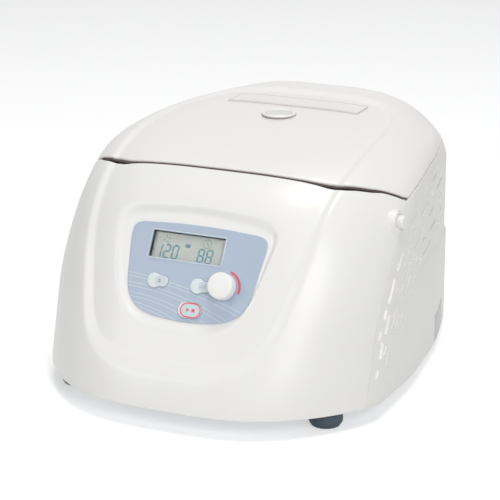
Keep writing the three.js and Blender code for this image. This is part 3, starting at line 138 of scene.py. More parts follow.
def find_root(fn: Line, low: float, high: float, rounds: int = 24) -> float:
    """Returns where a function crosses zero, given that it is positive at the low end.

    Args:
        fn: the function.
        low: end at which it is positive.
        high: other end.
        rounds: number of halvings.
    """
    for _ in range(rounds):
        middle = (low + high) / 2
        if fn(middle) > 0:
            low = middle
        else:
            high = middle
    return (low + high) / 2


@dataclass
class Skin:
    """The housing's outer form: a wrap that fans about a low rear edge, between bowed cheeks. Millimetres."""

    half_width: float = 140.0
    half_depth: float = 160.0
    crown: float = 200.0
    hub_height: float = 4.0
    shoulder: float = 10.0
    centre_shares: Sequence[Pair] = (
        (-1, 0.08), (-0.975, 0.14), (-0.938, 0.205), (-0.894, 0.27), (-0.839, 0.35), (-0.783, 0.4355),
        (-0.717, 0.541), (-0.654, 0.6366), (-0.585, 0.727), (-0.518, 0.792), (-0.434, 0.847),
        (-0.333, 0.892), (-0.227, 0.922), (-0.09, 0.946), (0.093, 0.971), (0.329, 0.987), (0.569, 0.9945),
        (0.813, 0.9965), (1, 0.991),
    )
    side_shares: Sequence[Pair] = (
        (-0.486, 0.0794), (-0.461, 0.1587), (-0.433, 0.248), (-0.4, 0.365), (-0.348, 0.463), (-0.28, 0.542),
        (-0.201, 0.6256), (-0.111, 0.7056), (-0.032, 0.764), (0.055, 0.812), (0.171, 0.844), (0.336, 0.8644),
        (0.499, 0.874), (0.649, 0.872), (0.813, 0.846), (1, 0.7825),
    )
    cheek_shares: Sequence[Pair] = (
        (-0.425, 1), (-0.18, 0.996), (0.063, 0.98), (0.303, 0.944), (0.556, 0.903), (1, 0.781),
    )
    bow_powers: Sequence[Pair] = ((2, 3.04), (20, 3.7), (40, 3.8), (60, 4), (90, 3.68))

    def __post_init__(self) -> None:
        """Builds the fan's curves from the side-view shares."""
        self.centre = self.fan_curve(self.centre_shares).smoothed(1.0, 14)
        self.side = self.fan_curve(self.side_shares).smoothed(1.0, 14)
        self.bow = HermiteCurve(self.bow_powers)
        self.cheek = HermiteCurve(
            [(y * self.half_depth, x * self.half_width) for y, x in self.cheek_shares]
        ).smoothed(8.0, 4)
        self.first_angle = self.polar(-self.half_depth, self.centre_shares[0][1] * self.crown)[0]

    def polar(self, y: float, z: float) -> Pair:
        """Returns a side-view place as angle and reach from the rear hub."""
        back, rise = self.half_depth - y, z - self.hub_height
        return math.degrees(math.atan2(rise, back)), math.hypot(rise, back)

    def flat(self, angle: float, reach: float) -> Pair:
        """Returns the side-view place at an angle and reach."""
        a = math.radians(angle)
        return self.half_depth - reach * math.cos(a), self.hub_height + reach * math.sin(a)

    def side_view(self, shares: Sequence[Pair]) -> list[Pair]:
        """Returns side-view places from their shares."""
        return [(y * self.half_depth, z * self.crown) for y, z in shares]

    def fan_curve(self, shares: Sequence[Pair]) -> HermiteCurve:
        """Returns reach by angle for a side-view line."""
        return HermiteCurve([self.polar(y, z) for y, z in self.side_view(shares)])

    def reach(self, across: float, angle: float) -> float:
        """Returns the skin's reach at -1..1 across and an angle."""
        u = min(abs(across), 1.0)
        share = self.shoulder / self.half_width
        turn = max(0.0, (u - 1 + share) / share)
        drop = self.shoulder * (1 - math.sqrt(max(0.0, 1 - turn * turn)))
        centre = self.centre(angle)
        return centre - (centre - self.side(angle)) * u ** self.bow(angle) - drop

    def point(self, across: float, angle: float) -> Vector:
        """Returns the skin's point at -1..1 across and an angle."""
        y, z = self.flat(angle, self.reach(across, angle))
        return Vector((across * self.cheek(y), y, z))

    def frame(self, x: float, angle: float, depth: float) -> Matrix:
        """Returns a frame on the sunk skin: x right, y up along it, z outwards, in millimetres."""
        at = self.fan_level(x, angle, depth)
        right = (self.fan_level(x + 5, angle, depth) - at).normalized()
        up = (self.fan_level(x, angle + 0.5, depth) - at).normalized()
        out = right.cross(up).normalized()
        up = out.cross(right)
        turn = Matrix((right, up, out)).transposed().to_4x4()
        return Matrix.Translation(at) @ turn

    def sunk(self, across: float, angle: float, depth: float) -> Vector:
        """Returns the point at -1..1 across with the reach shortened by a depth."""
        y, z = self.flat(angle, self.reach(across, angle) - depth)
        return Vector((across * self.cheek(y), y, z))

    def over(self, x: float, y: float, depth: float) -> Vector:
        """Returns the sunk skin's point above a place of the upper side."""
        angle = find_root(lambda a: y - self.fan_level(x, a, depth).y, 20.0, 90.0, 20)
        return self.fan_level(x, angle, depth)

    def fan_level(self, x: float, angle: float, depth: float) -> Vector:
        """Returns the point above x with the reach shortened by a depth, as the solids have it."""
        across = x / self.half_width
        for _ in range(6):
            y, _z = self.flat(angle, self.reach(across, angle) - depth)
            across = max(-1.0, min(1.0, x / self.cheek(y)))
        y, z = self.flat(angle, self.reach(across, angle) - depth)
        return Vector((x, y, z))


@dataclass
class Loop:
    """A closed line on the skin, mirrored about a centre line, read as a radius by direction."""

    shares: Sequence[Pair]
    centre_x: float
    shift: float = 0.0
    half_width: float = 140.0
    degree: float = 4.6
    samples: int = 360

    def __post_init__(self) -> None:
        """Samples the loop and tabulates its radius by direction."""
        self.middle = (self.shares[0][1] + self.shares[-1][1]) / 2
        right = [(x * self.half_width, a) for x, a in self.shares]
        left = [(-x, a) for x, a in reversed(right[1:-1])]
        self.knots = [Vector((x + self.shift, (a - self.middle) * self.degree)) for x, a in right + left]
        self.outline = self.rounded(self.samples)
        self.table = self.tabulate()

    def rounded(self, count: int) -> list[Vector]:
        """Returns points of a centripetal curve through the knots."""
        knots = self.knots
        n = len(knots)
        out = []
        for k in range(count):
            t = n * k / count
            i = int(t)
            f = t - i
            p = [knots[(i + d) % n] for d in (-1, 0, 1, 2)]
            d = [max((p[j + 1] - p[j]).length, 1e-6) ** 0.5 for j in range(3)]
            m1 = ((p[1] - p[0]) / d[0] - (p[2] - p[0]) / (d[0] + d[1]) + (p[2] - p[1]) / d[1]) * d[1]
            m2 = ((p[2] - p[1]) / d[1] - (p[3] - p[1]) / (d[1] + d[2]) + (p[3] - p[2]) / d[2]) * d[1]
            f2, f3 = f * f, f * f * f
            near = p[1] * (2 * f3 - 3 * f2 + 1) + m1 * (f3 - 2 * f2 + f)
            out.append(near + p[2] * (3 * f2 - 2 * f3) + m2 * (f3 - f2))
        return out

    def tabulate(self) -> list[float]:
        """Returns the outline's radius for each degree of direction."""
        polar = sorted((math.degrees(math.atan2(p.y, p.x)) % 360, p.length) for p in self.outline)
        polar = [(polar[-1][0] - 360, polar[-1][1]), *polar, (polar[0][0] + 360, polar[0][1])]
        table = []
        k = 0
        for degree in range(361):
            while k + 2 < len(polar) and polar[k + 1][0] < degree:
                k += 1
            (a0, r0), (a1, r1) = polar[k], polar[k + 1]
            table.append(r0 + (r1 - r0) * ((degree - a0) / max(a1 - a0, 1e-9)))
        for _ in range(2):
            table = [
                (table[i - 1 if i else 359] + 2 * r + table[(i + 1) % 360]) / 4 for i, r in enumerate(table)
            ]
        return table

    def place(self, x: float, angle: float) -> Vector:
        """Returns a skin place as the loop's own flat coordinates."""
        return Vector((x - self.centre_x, (angle - self.middle) * self.degree))

    def radius(self, direction: float) -> float:
        """Returns the loop's radius in a direction in degrees."""
        direction %= 360
        i = int(direction)
        f = direction - i
        return self.table[i] * (1 - f) + self.table[i + 1] * f

    def skin_points(self, count: int, spread: float = 1.0) -> list[Pair]:
        """Returns points of the loop as x and angle."""
        out = []
        for i in range(count):
            a = 360 * i / count
            r = self.radius(a) * spread
            out.append((
                self.centre_x + r * math.cos(math.radians(a)),
                self.middle + r * math.sin(math.radians(a)) / self.degree,
            ))
        return out


@dataclass
class Dish:
    """A sunk field of the skin: even floor, sloped rim between two loops."""

    outer: Loop
    inner: Loop
    depth: float
    softness: float = 0.55
    steepness: float = 1.1

    def sink(self, x: float, angle: float) -> float:
        """Returns how far the skin is sunk at a place."""
        p, q = self.outer.place(x, angle), self.inner.place(x, angle)
        outer = self.outer.radius(math.degrees(math.atan2(p.y, p.x)))
        inner = self.inner.radius(math.degrees(math.atan2(q.y, q.x)))
        t = (outer - p.length) / max(outer - inner, 1.0)
        if t <= 0:
            return 0.0
        steep = smooth_step(0.5 + (t - 0.5) * self.steepness)
        return self.depth * (smooth_step(t) * self.softness + (1 - self.softness) * steep)


# Mesh helpers


def new_object(name: str, verts: Iterable[Sequence[float]], faces: Iterable[Sequence[int]],
               scale: float = MM) -> bpy.types.Object:
    """Makes a smooth-shaded mesh object from points.

    Args:
        name: the piece's name.
        verts: the points, in millimetres unless the scale says otherwise.
        faces: corner numbers of each face.
        scale: metres per unit of the points.

    Returns:
        The new object, at the origin.
    """
    mesh = bpy.data.meshes.new(name)
    mesh.from_pydata([tuple(c * scale for c in v) for v in verts], [], [tuple(f) for f in faces])
    mesh.validate()
    mesh.polygons.foreach_set("use_smooth", [True] * len(mesh.polygons))
    mesh.update()
    obj = bpy.data.objects.new(name, mesh)
    bpy.context.scene.collection.objects.link(obj)
    return obj


def activate(obj: bpy.types.Object) -> None:
    """Makes an object the only selected and the active one."""
    for other in bpy.context.selected_objects:
        other.select_set(False)
    obj.select_set(True)
    bpy.context.view_layer.objects.active = obj


def settle(obj: bpy.types.Object) -> bpy.types.Object:
    """Turns an object with modifiers into a plain mesh and returns it."""
    graph = bpy.context.evaluated_depsgraph_get()
    mesh = bpy.data.meshes.new_from_object(obj.evaluated_get(graph), depsgraph=graph)
    old = obj.data
    obj.modifiers.clear()
    if obj.type == "MESH":
        obj.data = mesh
        bpy.data.meshes.remove(old)
        mesh.name = obj.name
        return obj
    made = bpy.data.objects.new(obj.name, mesh)
    bpy.context.scene.collection.objects.link(made)
    bpy.data.objects.remove(obj)
    return made


def fix_normals(obj: bpy.types.Object, merge: float = 1e-6) -> None:
    """Merges doubles and turns all faces outwards."""
    bm = bmesh.new()
    bm.from_mesh(obj.data)
    bmesh.ops.remove_doubles(bm, verts=bm.verts, dist=merge)
    bmesh.ops.recalc_face_normals(bm, faces=bm.faces)
    bm.to_mesh(obj.data)
    bm.free()


def shade_by_angle(obj: bpy.types.Object, degrees: float) -> None:
    """Shades smooth, with edges sharper than an angle kept crisp."""
    obj.data.polygons.foreach_set("use_smooth", [True] * len(obj.data.polygons))
    obj.data.set_sharp_from_angle(angle=math.radians(degrees))


def move_mesh(obj: bpy.types.Object, matrix: Matrix) -> bpy.types.Object:
    """Places a mesh by a matrix given in millimetres, leaving the object at the origin."""
    matrix = matrix.copy()
    matrix.translation *= MM
    obj.data.transform(matrix)
    obj.data.update()
    return obj


def lathe(name: str, profile: Sequence[Pair], sides: int = 96, frame: Matrix | None = None,
          sharp: float = 35.0) -> bpy.types.Object:
    """Makes a solid of revolution about the local z axis from a closed or axis-to-axis profile.

    Args:
        name: the piece's name.
        profile: radius and height pairs in millimetres.
        sides: segments round the axis.
        frame: where the axis stands, in millimetres.
        sharp: angle in degrees past which an edge stays crisp.
    """
    verts: list[tuple[float, float, float]] = []
    rings: list[list[int]] = []
    for r, h in profile:
        if r <= 1e-6:
            rings.append([len(verts)] * sides)
            verts.append((0.0, 0.0, h))
            continue
        start = len(verts)
        for i in range(sides):
            a = 2 * math.pi * i / sides
            verts.append((r * math.cos(a), r * math.sin(a), h))
        rings.append(list(range(start, start + sides)))
    closed = profile[0][0] > 1e-6 or profile[-1][0] > 1e-6
    pairs = list(zip(rings, rings[1:])) + ([(rings[-1], rings[0])] if closed else [])
    faces = []
    for low, high in pairs:
        for i in range(sides):
            j = (i + 1) % sides
            corner = [low[i], low[j], high[j], high[i]]
            corner = [c for k, c in enumerate(corner) if c not in corner[:k]]
            if len(corner) > 2:
                faces.append(corner)
    obj = new_object(name, verts, faces)
    fix_normals(obj)
    shade_by_angle(obj, sharp)
    return move_mesh(obj, frame) if frame else obj


def rounded_profile(corners: Sequence[tuple[float, float, float]], cuts: int = 5) -> list[Pair]:
    """Rounds the corners of a profile.

    Args:
        corners: radius, height and corner rounding of each corner.
        cuts: points on each rounding.
    """
    n = len(corners)
    out: list[Pair] = []
    for i, (x, y, r) in enumerate(corners):
        here = Vector((x, y))
        if r <= 0:
            out.append((x, y))
            continue
        back = (Vector(corners[i - 1][:2]) - here).normalized()
        on = (Vector(corners[(i + 1) % n][:2]) - here).normalized()
        half = back.angle(on) / 2
        run = r / math.tan(half)
        start, end = here + back * run, here + on * run
        centre = here + (back + on).normalized() * (r / math.sin(half))
        a, b = start - centre, end - centre
        sweep = a.angle_signed(b)
        for k in range(cuts + 1):
            turn = -sweep * k / cuts
            c, s = math.cos(turn), math.sin(turn)
            out.append((centre.x + a.x * c - a.y * s, centre.y + a.x * s + a.y * c))
    return out


def prism(name: str, outline: Sequence[Pair], low: float, high: float, frame: Matrix | None = None,
          bevel: float = 0.0, segments: int = 3, sharp: float = 40.0) -> bpy.types.Object:
    """Makes an upright solid over a flat outline, with rounded rims.

    Args:
        name: the piece's name.
        outline: points in order, millimetres.
        low: bottom height.
        high: top height.
        frame: local frame in millimetres.
        bevel: rim rounding.
        segments: steps on the rounding.
        sharp: angle past which an edge stays crisp.
    """
    n = len(outline)
    verts = [(x, y, low) for x, y in outline] + [(x, y, high) for x, y in outline]
    faces: list[list[int]] = [list(range(n))[::-1], list(range(n, 2 * n))]
    faces += [[i, (i + 1) % n, n + (i + 1) % n, n + i] for i in range(n)]
    obj = new_object(name, verts, faces)
    fix_normals(obj)
    if bevel:
        add_bevel(obj, bevel, segments)
        settle(obj)
    shade_by_angle(obj, sharp)
    return move_mesh(obj, frame) if frame else obj


def add_bevel(obj: bpy.types.Object, width: float, segments: int = 3, angle: float = 40.0) -> None:
    """Adds a rounding of all edges sharper than an angle."""
    mod = obj.modifiers.new("rounding", "BEVEL")
    mod.width = width * MM
    mod.segments = segments
    mod.limit_method = "ANGLE"
    mod.angle_limit = math.radians(angle)
    mod.harden_normals = False


def join(name: str, objects: Sequence[bpy.types.Object]) -> bpy.types.Object:
    """Joins mesh objects into one and names it."""
    activate(objects[0])
    for obj in objects[1:]:
        obj.select_set(True)
    bpy.ops.object.join()
    objects[0].name = name
    objects[0].data.name = name
    return objects[0]


def cut(obj: bpy.types.Object, cutters: Sequence[bpy.types.Object]) -> bpy.types.Object:
    """Cuts solids out of a closed mesh and removes the cutters."""
    for tool in cutters:
        mod = obj.modifiers.new("cut", "BOOLEAN")
        mod.operation = "DIFFERENCE"
        mod.solver = "EXACT"
        mod.use_self = True
        mod.object = tool
    settle(obj)
    for tool in cutters:
        bpy.data.objects.remove(tool)
    return obj


def circle(radius: float, count: int = 64) -> list[Pair]:
    """Returns points round a circle."""
    turns = [2 * math.pi * i / count for i in range(count)]
    return [(radius * math.cos(a), radius * math.sin(a)) for a in turns]


def pill(width: float, height: float, radius: float | None = None, cuts: int = 10) -> list[Pair]:
    """Returns a rectangle with rounded ends or corners."""
    r = min(radius if radius is not None else height / 2, width / 2, height / 2)
    corners = ((1, 1), (-1, 1), (-1, -1), (1, -1))
    out = []
    for k, (sx, sy) in enumerate(corners):
        for i in range(cuts + 1):
            a = math.pi / 2 * (k + i / cuts)
            out.append((sx * (width / 2 - r) + r * math.cos(a), sy * (height / 2 - r) + r * math.sin(a)))
    return out


@dataclass
class Wall:
    """A moulded wall over a grid of outer points, with rounded rims and an inner face.

    Cells that aren't kept are openings, extra thickens the wall point by point, and pole says that the last
    row is a single place.
    """

    points: np.ndarray
    outward: tuple[float, float, float]
    thickness: float = 2.6
    rounding: float = 0.8
    keep: np.ndarray | None = None
    pole: bool = False
    extra: np.ndarray | None = None
    weld: float = 2e-6
    sliver: float = 1e-7

    def __post_init__(self) -> None:
        """Turns the columns round where the grid would face inwards."""
        if float((self.normals() @ np.array(self.outward)).mean()) < 0:
            self.points = self.points[:, ::-1]
            self.keep = None if self.keep is None else self.keep[:, ::-1]
            self.extra = None if self.extra is None else self.extra[:, ::-1]

    def normals(self) -> np.ndarray:
        """Returns the unit normal at each grid point."""
        normal = np.cross(np.gradient(self.points, axis=1), np.gradient(self.points, axis=0))
        size = np.linalg.norm(normal, axis=2, keepdims=True)
        normal = normal / np.maximum(size, 1e-9)
        if self.pole:
            normal[-1] = normal[-2]
        return normal

    def rim_distance(self) -> np.ndarray:
        """Returns each grid point's distance along the surface to the nearest border."""
        out = []
        for axis in (0, 1):
            step = np.linalg.norm(np.diff(self.points, axis=axis), axis=2)
            pad = [(1, 0), (0, 0)] if axis == 0 else [(0, 0), (1, 0)]
            run = np.pad(np.cumsum(step, axis=axis), pad)
            total = run[-1:, :] if axis == 0 else run[:, -1:]
            out.append(run)
            if not (self.pole and axis == 0):
                out.append(total - run)
        return np.minimum.reduce(out)

    def build(self, name: str) -> bpy.types.Object:
        """Makes the closed wall.

        Args:
            name: the piece's name.

        Returns:
            The mesh object, at the origin.
        """
        normal = self.normals()
        reach = np.clip(self.rounding - self.rim_distance(), 0, self.rounding)
        drop = self.rounding - np.sqrt(np.maximum(self.rounding**2 - reach**2, 0))
        outer = self.points - normal * drop[..., None]
        depth = np.full(self.points.shape[:2], self.thickness) + (0 if self.extra is None else self.extra)
        inner = self.points - normal * depth[..., None]
        rows, cols = self.points.shape[:2]
        keep = np.ones((rows - 1, cols - 1), bool) if self.keep is None else self.keep
        index = np.arange(rows * cols).reshape(rows, cols)
        a, b, c, d = index[:-1, :-1], index[:-1, 1:], index[1:, 1:], index[1:, :-1]
        below = rows * cols
        quads = [np.stack([a, b, c, d], -1)[keep], np.stack([d, c, b, a], -1)[keep] + below]
        padded = np.pad(keep, 1)
        sides = (
            (padded[:-2, 1:-1], a, b), (padded[1:-1, 2:], b, c),
            (padded[2:, 1:-1], c, d), (padded[1:-1, :-2], d, a),
        )
        for neighbour, start, end in sides:
            rim = keep & ~neighbour
            quads.append(np.stack([end[rim], start[rim], start[rim] + below, end[rim] + below], -1))
        faces = np.concatenate(quads)
        verts = np.concatenate([outer.reshape(-1, 3), inner.reshape(-1, 3)])
        used, faces = np.unique(faces, return_inverse=True)
        obj = new_object(name, verts[used].tolist(), faces.reshape(-1, 4).tolist())
        bm = bmesh.new()
        bm.from_mesh(obj.data)
        bmesh.ops.remove_doubles(bm, verts=bm.verts, dist=self.weld)
        bmesh.ops.dissolve_degenerate(bm, dist=self.sliver, edges=bm.edges)
        bm.to_mesh(obj.data)
        bm.free()
        shade_by_angle(obj, 50)
        return obj


def spaced(length: float, step: float, rounding: float, both: bool = True) -> list[float]:
    """Returns shares 0..1 along a length: close together in the rim roundings, even between them.

    Args:
        length: the length in millimetres.
        step: spacing away from the rims.
        rounding: rim rounding.
        both: whether the far end is a rim too.
    """
    near = [share * rounding for share in RIM_SHARES]
    last = length - (near[-1] if both else 0)
    count = max(2, round((last - near[-1]) / step))
    middle = [near[-1] + (last - near[-1]) * i / count for i in range(1, count)]
    tail = [length - v for v in reversed(near)] if both else [length]
    return [v / length for v in (*near, *middle, *tail)]


# Lines on the housing


@dataclass
class Seams:
    """The parting lines of the housing, read from its side view. Millimetres."""

    skin: Skin
    sink: Callable[[float, float], float]
    lid_gap: float = 2.4
    gap_slope: float = 1.09
    bend_angle: float = 40.0
    front_angles: Pair = (20.0, 60.0)
    side_shares: Pair = (0.8, 1.0)
    lid_side_gap: float = 0.35
    side_gap: float = 0.14
    hinge_y: float = 153.5
    hinge_z: float = 161.0
    hinge_reach: float = 8.7
    lid_shares: Sequence[Pair] = (
        (-1.3, 1.21), (-0.267, 0.853), (-0.151, 0.819), (-0.032, 0.7745), (0.057, 0.798), (0.147, 0.8125),
        (0.349, 0.8325), (0.63, 0.847), (0.938, 0.8485),
    )
    upper_bend: Sequence[Pair] = (
        (0, 1.5), (35, 1.3), (65, 0.4), (86, -0.3), (97, 0.4), (105, 0.9), (115, 1.0), (121, 1.4), (128, 1.0),
        (134, 0.1), (140, 0),
    )
    lower_bend: Sequence[Pair] = (
        (0, 1.5), (35, 1.3), (65, 0.3), (78, -0.9), (86, -2.1), (97, -1.8), (105, -0.5), (115, 0.1),
        (121, 1.2), (128, 1.0), (134, 0.1), (140, 0),
    )
    part_shares: Sequence[Pair] = (
        (-0.565, -0.1), (-0.541, 0.0685), (-0.49, 0.2085), (-0.444, 0.339), (-0.384, 0.44), (-0.316, 0.523),
        (-0.242, 0.6035), (-0.158, 0.6835), (-0.032, 0.7745), (0.03, 0.82), (0.15, 0.9),
    )

    def __post_init__(self) -> None:
        """Tabulates the lines in the fan's coordinates."""
        line = self.skin.side_view(self.lid_shares)
        self.ys, self.zs = [p[0] for p in line], [p[1] for p in line]
        self.corner_y, self.corner_z = line[3]
        self.part = self.skin.fan_curve(self.part_shares)
        self.corner_angle = self.skin.polar(self.corner_y, self.corner_z)[0]
        self.corner_across = self.side_across(self.corner_angle, 0.0)
        across = [self.corner_across * (k / 60 - 1) for k in range(121)]
        self.fronts = {
            side: HermiteCurve([(u, self.front_angle(u, side * self.lid_gap / 2, bend)) for u in across])
            for side, bend in ((-1, HermiteCurve(self.lower_bend)), (1, HermiteCurve(self.upper_bend)))
        }

    def height(self, y: float) -> float:
        """Returns the lid seam's height at a depth from the front."""
        if y > self.hinge_y:
            return self.hinge_z + math.sqrt(max(self.hinge_reach**2 - (y - self.hinge_y) ** 2, 0))
        return float(np.interp(y, self.ys, self.zs))

    def front_angle(self, across: float, offset: float, bend: HermiteCurve) -> float:
        """Returns the fan angle where the sunk skin crosses the lid seam, raised by an offset and a bend."""
        rise = offset * self.gap_slope + bend(abs(self.skin.sunk(across, self.bend_angle, 0).x))

        def below(angle: float) -> float:
            """Returns how far the sunk skin lies below the seam at a fan angle."""
            p = self.skin.sunk(across, angle, 0)
            p = self.skin.sunk(across, angle, self.sink(p.x, angle))
            slope = float(np.interp(min(p.y, self.corner_y), self.ys, self.zs))
            return slope + rise - p.z

        return find_root(below, *self.front_angles)

    def side_across(self, angle: float, offset: float) -> float:
        """Returns how far across the lid seam runs along the shoulder at a fan angle."""

        def above(across: float) -> float:
            """Returns how far the skin lies above the seam at a share across."""
            p = self.skin.sunk(across, angle, 0)
            return p.z - self.height(max(p.y, self.corner_y)) - offset

        return find_root(above, *self.side_shares)

    def part_across(self, angle: float, offset: float) -> float:
        """Returns how far across the front casing ends at a fan angle."""
        return find_root(lambda u: self.skin.reach(u, angle) - self.part(angle) - offset, *self.side_shares)


class Housing:
    """The skin with its sunk shield and panel field, and the parting lines on it."""

    shield_outer = (
        (0, 6), (0.209, 6.2), (0.378, 7.1), (0.496, 8.8), (0.574, 11.8), (0.617, 15.6), (0.653, 20),
        (0.692, 25.8), (0.708, 32.4), (0.724, 39.1), (0.736, 44.9), (0.738, 51.7), (0.728, 58.2),
        (0.704, 64.9), (0.665, 71), (0.605, 76.5), (0.5, 79.6), (0.22, 81.3), (0, 81.6),
    )
    shield_inner = (
        (0, 8.7), (0.199, 8.9), (0.358, 9.8), (0.452, 11.3), (0.509, 13.9), (0.548, 17.6), (0.581, 22),
        (0.622, 27.7), (0.645, 33.4), (0.664, 39.2), (0.678, 45), (0.682, 51.9), (0.672, 58), (0.65, 64.2),
        (0.612, 69.8), (0.558, 74.3), (0.46, 77), (0.2, 78.7), (0, 79),
    )
    panel_outer = (
        (0, 12), (0.156, 12.2), (0.256, 13.2), (0.334, 14.9), (0.39, 17.6), (0.432, 21), (0.466, 24.9),
        (0.487, 27.8), (0.483, 29.8), (0.445, 31.1), (0.354, 31.7), (0.178, 32), (0, 32.2),
    )
    panel_inner = (
        (0, 13.6), (0.07, 13.65), (0.14, 13.8), (0.22, 14.1), (0.285, 14.75), (0.325, 15.6), (0.357, 16.8),
        (0.377, 18.2), (0.386, 19.4), (0.393, 20.8), (0.4, 22.5), (0.408, 24.4), (0.415, 26.7), (0.409, 27.9),
        (0.376, 28.7), (0.29, 29.1), (0.15, 29.4), (0, 29.5),
    )
    film_edge = (
        (0, 14.0), (0.06, 14.05), (0.13, 14.2), (0.21, 14.5), (0.272, 15.09), (0.31, 15.84), (0.343, 16.9),
        (0.364, 18.2), (0.373, 19.4), (0.38, 20.8), (0.387, 22.5), (0.396, 24.4), (0.403, 26.6),
        (0.396, 27.7), (0.364, 28.3), (0.28, 28.5), (0.15, 28.7), (0, 28.78),
    )
    panel_x = -4.0
    film_shift = 3.4
    sunk_by = 4.0

    def __init__(self) -> None:
        """Lays the loops and lines on the skin."""
        self.skin = Skin()
        outer, inner, panel_outer = (
            Loop(shares, self.panel_x) for shares in (self.shield_outer, self.shield_inner, self.panel_outer)
        )
        panel_inner, self.film = (
            Loop(shares, self.panel_x, self.film_shift) for shares in (self.panel_inner, self.film_edge)
        )
        self.shield = Dish(outer, inner, self.sunk_by)
        self.panel = Dish(panel_outer, panel_inner, self.sunk_by)
        self.floor = self.sunk_by * 2
        self.seams = Seams(self.skin, self.sink)

    def sink(self, x: float, angle: float) -> float:
        """Returns how deep the surface lies under the skin at a place."""
        return self.shield.sink(x, angle) + self.panel.sink(x, angle)

    def point(self, across: float, angle: float) -> Vector:
        """Returns the moulded surface's point at -1..1 across and an angle."""
        x = self.skin.sunk(across, angle, 0).x
        return self.skin.sunk(across, angle, self.sink(x, angle))


def surface_grid(housing: Housing, rows: Sequence[float], cols: Sequence[float], edge: HermiteCurve,
                 start: float, lower: Line, upper: Line) -> np.ndarray:
    """Returns points of the moulded surface in rows between two lines across it.

    Args:
        housing: the housing.
        rows: shares 0..1 of the way up.
        cols: shares -1..1 of the way across.
        edge: how far across the outer columns lie, by fan angle.
        start: fan angle from which the search for each column starts.
        lower: fan angle of the lower line, by how far across.
        upper: fan angle of the upper line, by how far across.
    """
    grid = np.zeros((len(rows), len(cols), 3))
    for j, share in enumerate(cols):
        across = share * edge(start)
        for i, rise in enumerate(rows):
            for _ in range(4):
                low = lower(across)
                angle = low + rise * (upper(across) - low)
                across = share * edge(angle)
            grid[i, j] = housing.point(across, angle)
    return grid


class FrontCasing:
    """The front shell: shield and panel fields sunk into it, openings for display, keys and knob."""

    step = 1.5
    thickness = 2.8
    rounding = 0.35
    edge_knots = 40
    start_angle = 30.0
    openings_half = 62.0
    height = 190.0
    width = 268.0

    def __init__(self, housing: Housing, openings: Sequence[tuple[Matrix, float, float]]) -> None:
        """Stores the housing and the openings, each a frame with half width and half height."""
        self.housing = housing
        self.openings = [(frame.inverted(), w, h) for frame, w, h in openings]

    def open_at(self, place: Vector) -> bool:
        """Returns whether an opening goes through the wall at a place."""
        for frame, half_width, half_height in self.openings:
            p = frame @ place
            if abs(p.x) < half_width and abs(p.y) < half_height and abs(p.z) < self.housing.floor * 2:
                return True
        return False

    def build(self) -> bpy.types.Object:
        """Makes the casing's wall."""
        housing, seams = self.housing, self.housing.seams
        first, count = housing.skin.first_angle, self.edge_knots
        angles = [first + (seams.corner_angle - first) * k / count for k in range(count + 1)]
        edge = HermiteCurve([(a, seams.part_across(a, seams.side_gap / 2)) for a in angles])
        rows = spaced(self.height, self.step, self.rounding)
        cols = [2 * s - 1 for s in spaced(self.width, self.step, self.rounding)]
        start = self.start_angle
        grid = surface_grid(housing, rows, cols, edge, start, lambda _across: first, seams.fronts[-1])
        keep = np.ones((len(rows) - 1, len(cols) - 1), bool)
        middle = (grid[:-1, :-1] + grid[1:, 1:]) / 2
        for i, j in zip(*np.nonzero(np.abs(middle[..., 0] - housing.panel_x) < self.openings_half)):
            keep[i, j] = not self.open_at(Vector(middle[i, j]))
        return Wall(grid, (0, -1, 0.4), self.thickness, self.rounding, keep).build("front_shell")


@dataclass
class Lid:
    """The lid's shell with its rear arch, and the round window's opening."""

    housing: Housing
    step = 1.6
    thickness = 2.3
    rounding = 1.2
    edge_knots, edge_crowding = 60, 1.5
    arch = 2.5
    arch_turns = (70, 50, 30, 10, 0)
    arch_share = 0.6
    drop_run, drop_rounding, drop_skip = 20, 0.8, 6
    low_edge = 0.9
    width = 268.0
    length = 225.0
    window_y = 57.47
    window_hole = 12.7

    def rear_rows(self, ends: np.ndarray) -> np.ndarray:
        """Returns the rows past the skin's last one: round the arch and down to the rear edge."""
        depth = self.housing.skin.half_depth
        low = self.housing.seams.height(depth) + self.low_edge
        arc = [math.radians(a) for a in self.arch_turns]
        drop = spaced(self.drop_run, self.step, self.drop_rounding)[self.drop_skip:]
        rows = np.zeros((len(arc) + len(drop), len(ends), 3))
        for j, (x, y, z) in enumerate(ends):
            room = min(self.arch, (z - low) * self.arch_share)
            top = z - room
            for k, a in enumerate(arc):
                rows[k, j] = (x, y + (depth - y) * math.cos(a), top + room * math.sin(a))
            for k, share in enumerate(drop):
                rows[len(arc) + k, j] = (x, depth, top + (low - top) * share)
        return rows

    def build(self) -> bpy.types.Object:
        """Makes the lid's wall."""
        skin, seams = self.housing.skin, self.housing.seams
        last = 90 - math.degrees(math.atan(self.arch / (skin.crown - skin.hub_height)))
        start, count = seams.corner_angle, self.edge_knots
        angles = [start + (last - start) * (k / count) ** self.edge_crowding for k in range(count + 1)]
        edge = HermiteCurve([(a, seams.side_across(a, seams.lid_side_gap / 2)) for a in angles])
        rows = spaced(self.length, self.step, self.rounding, both=False)
        cols = [2 * s - 1 for s in spaced(self.width, self.step, self.rounding)]
        grid = surface_grid(self.housing, rows, cols, edge, start, seams.fronts[1], lambda _across: last)
        grid = np.concatenate([grid, self.rear_rows(grid[-1])])
        keep = np.ones((grid.shape[0] - 1, grid.shape[1] - 1), bool)
        middle = (grid[:-1, :-1] + grid[1:, 1:]) / 2
        keep[np.hypot(middle[..., 0], middle[..., 1] - self.window_y) < self.window_hole] = False
        return Wall(grid, (0, 0, 1), self.thickness, self.rounding, keep).build("lid_skin")


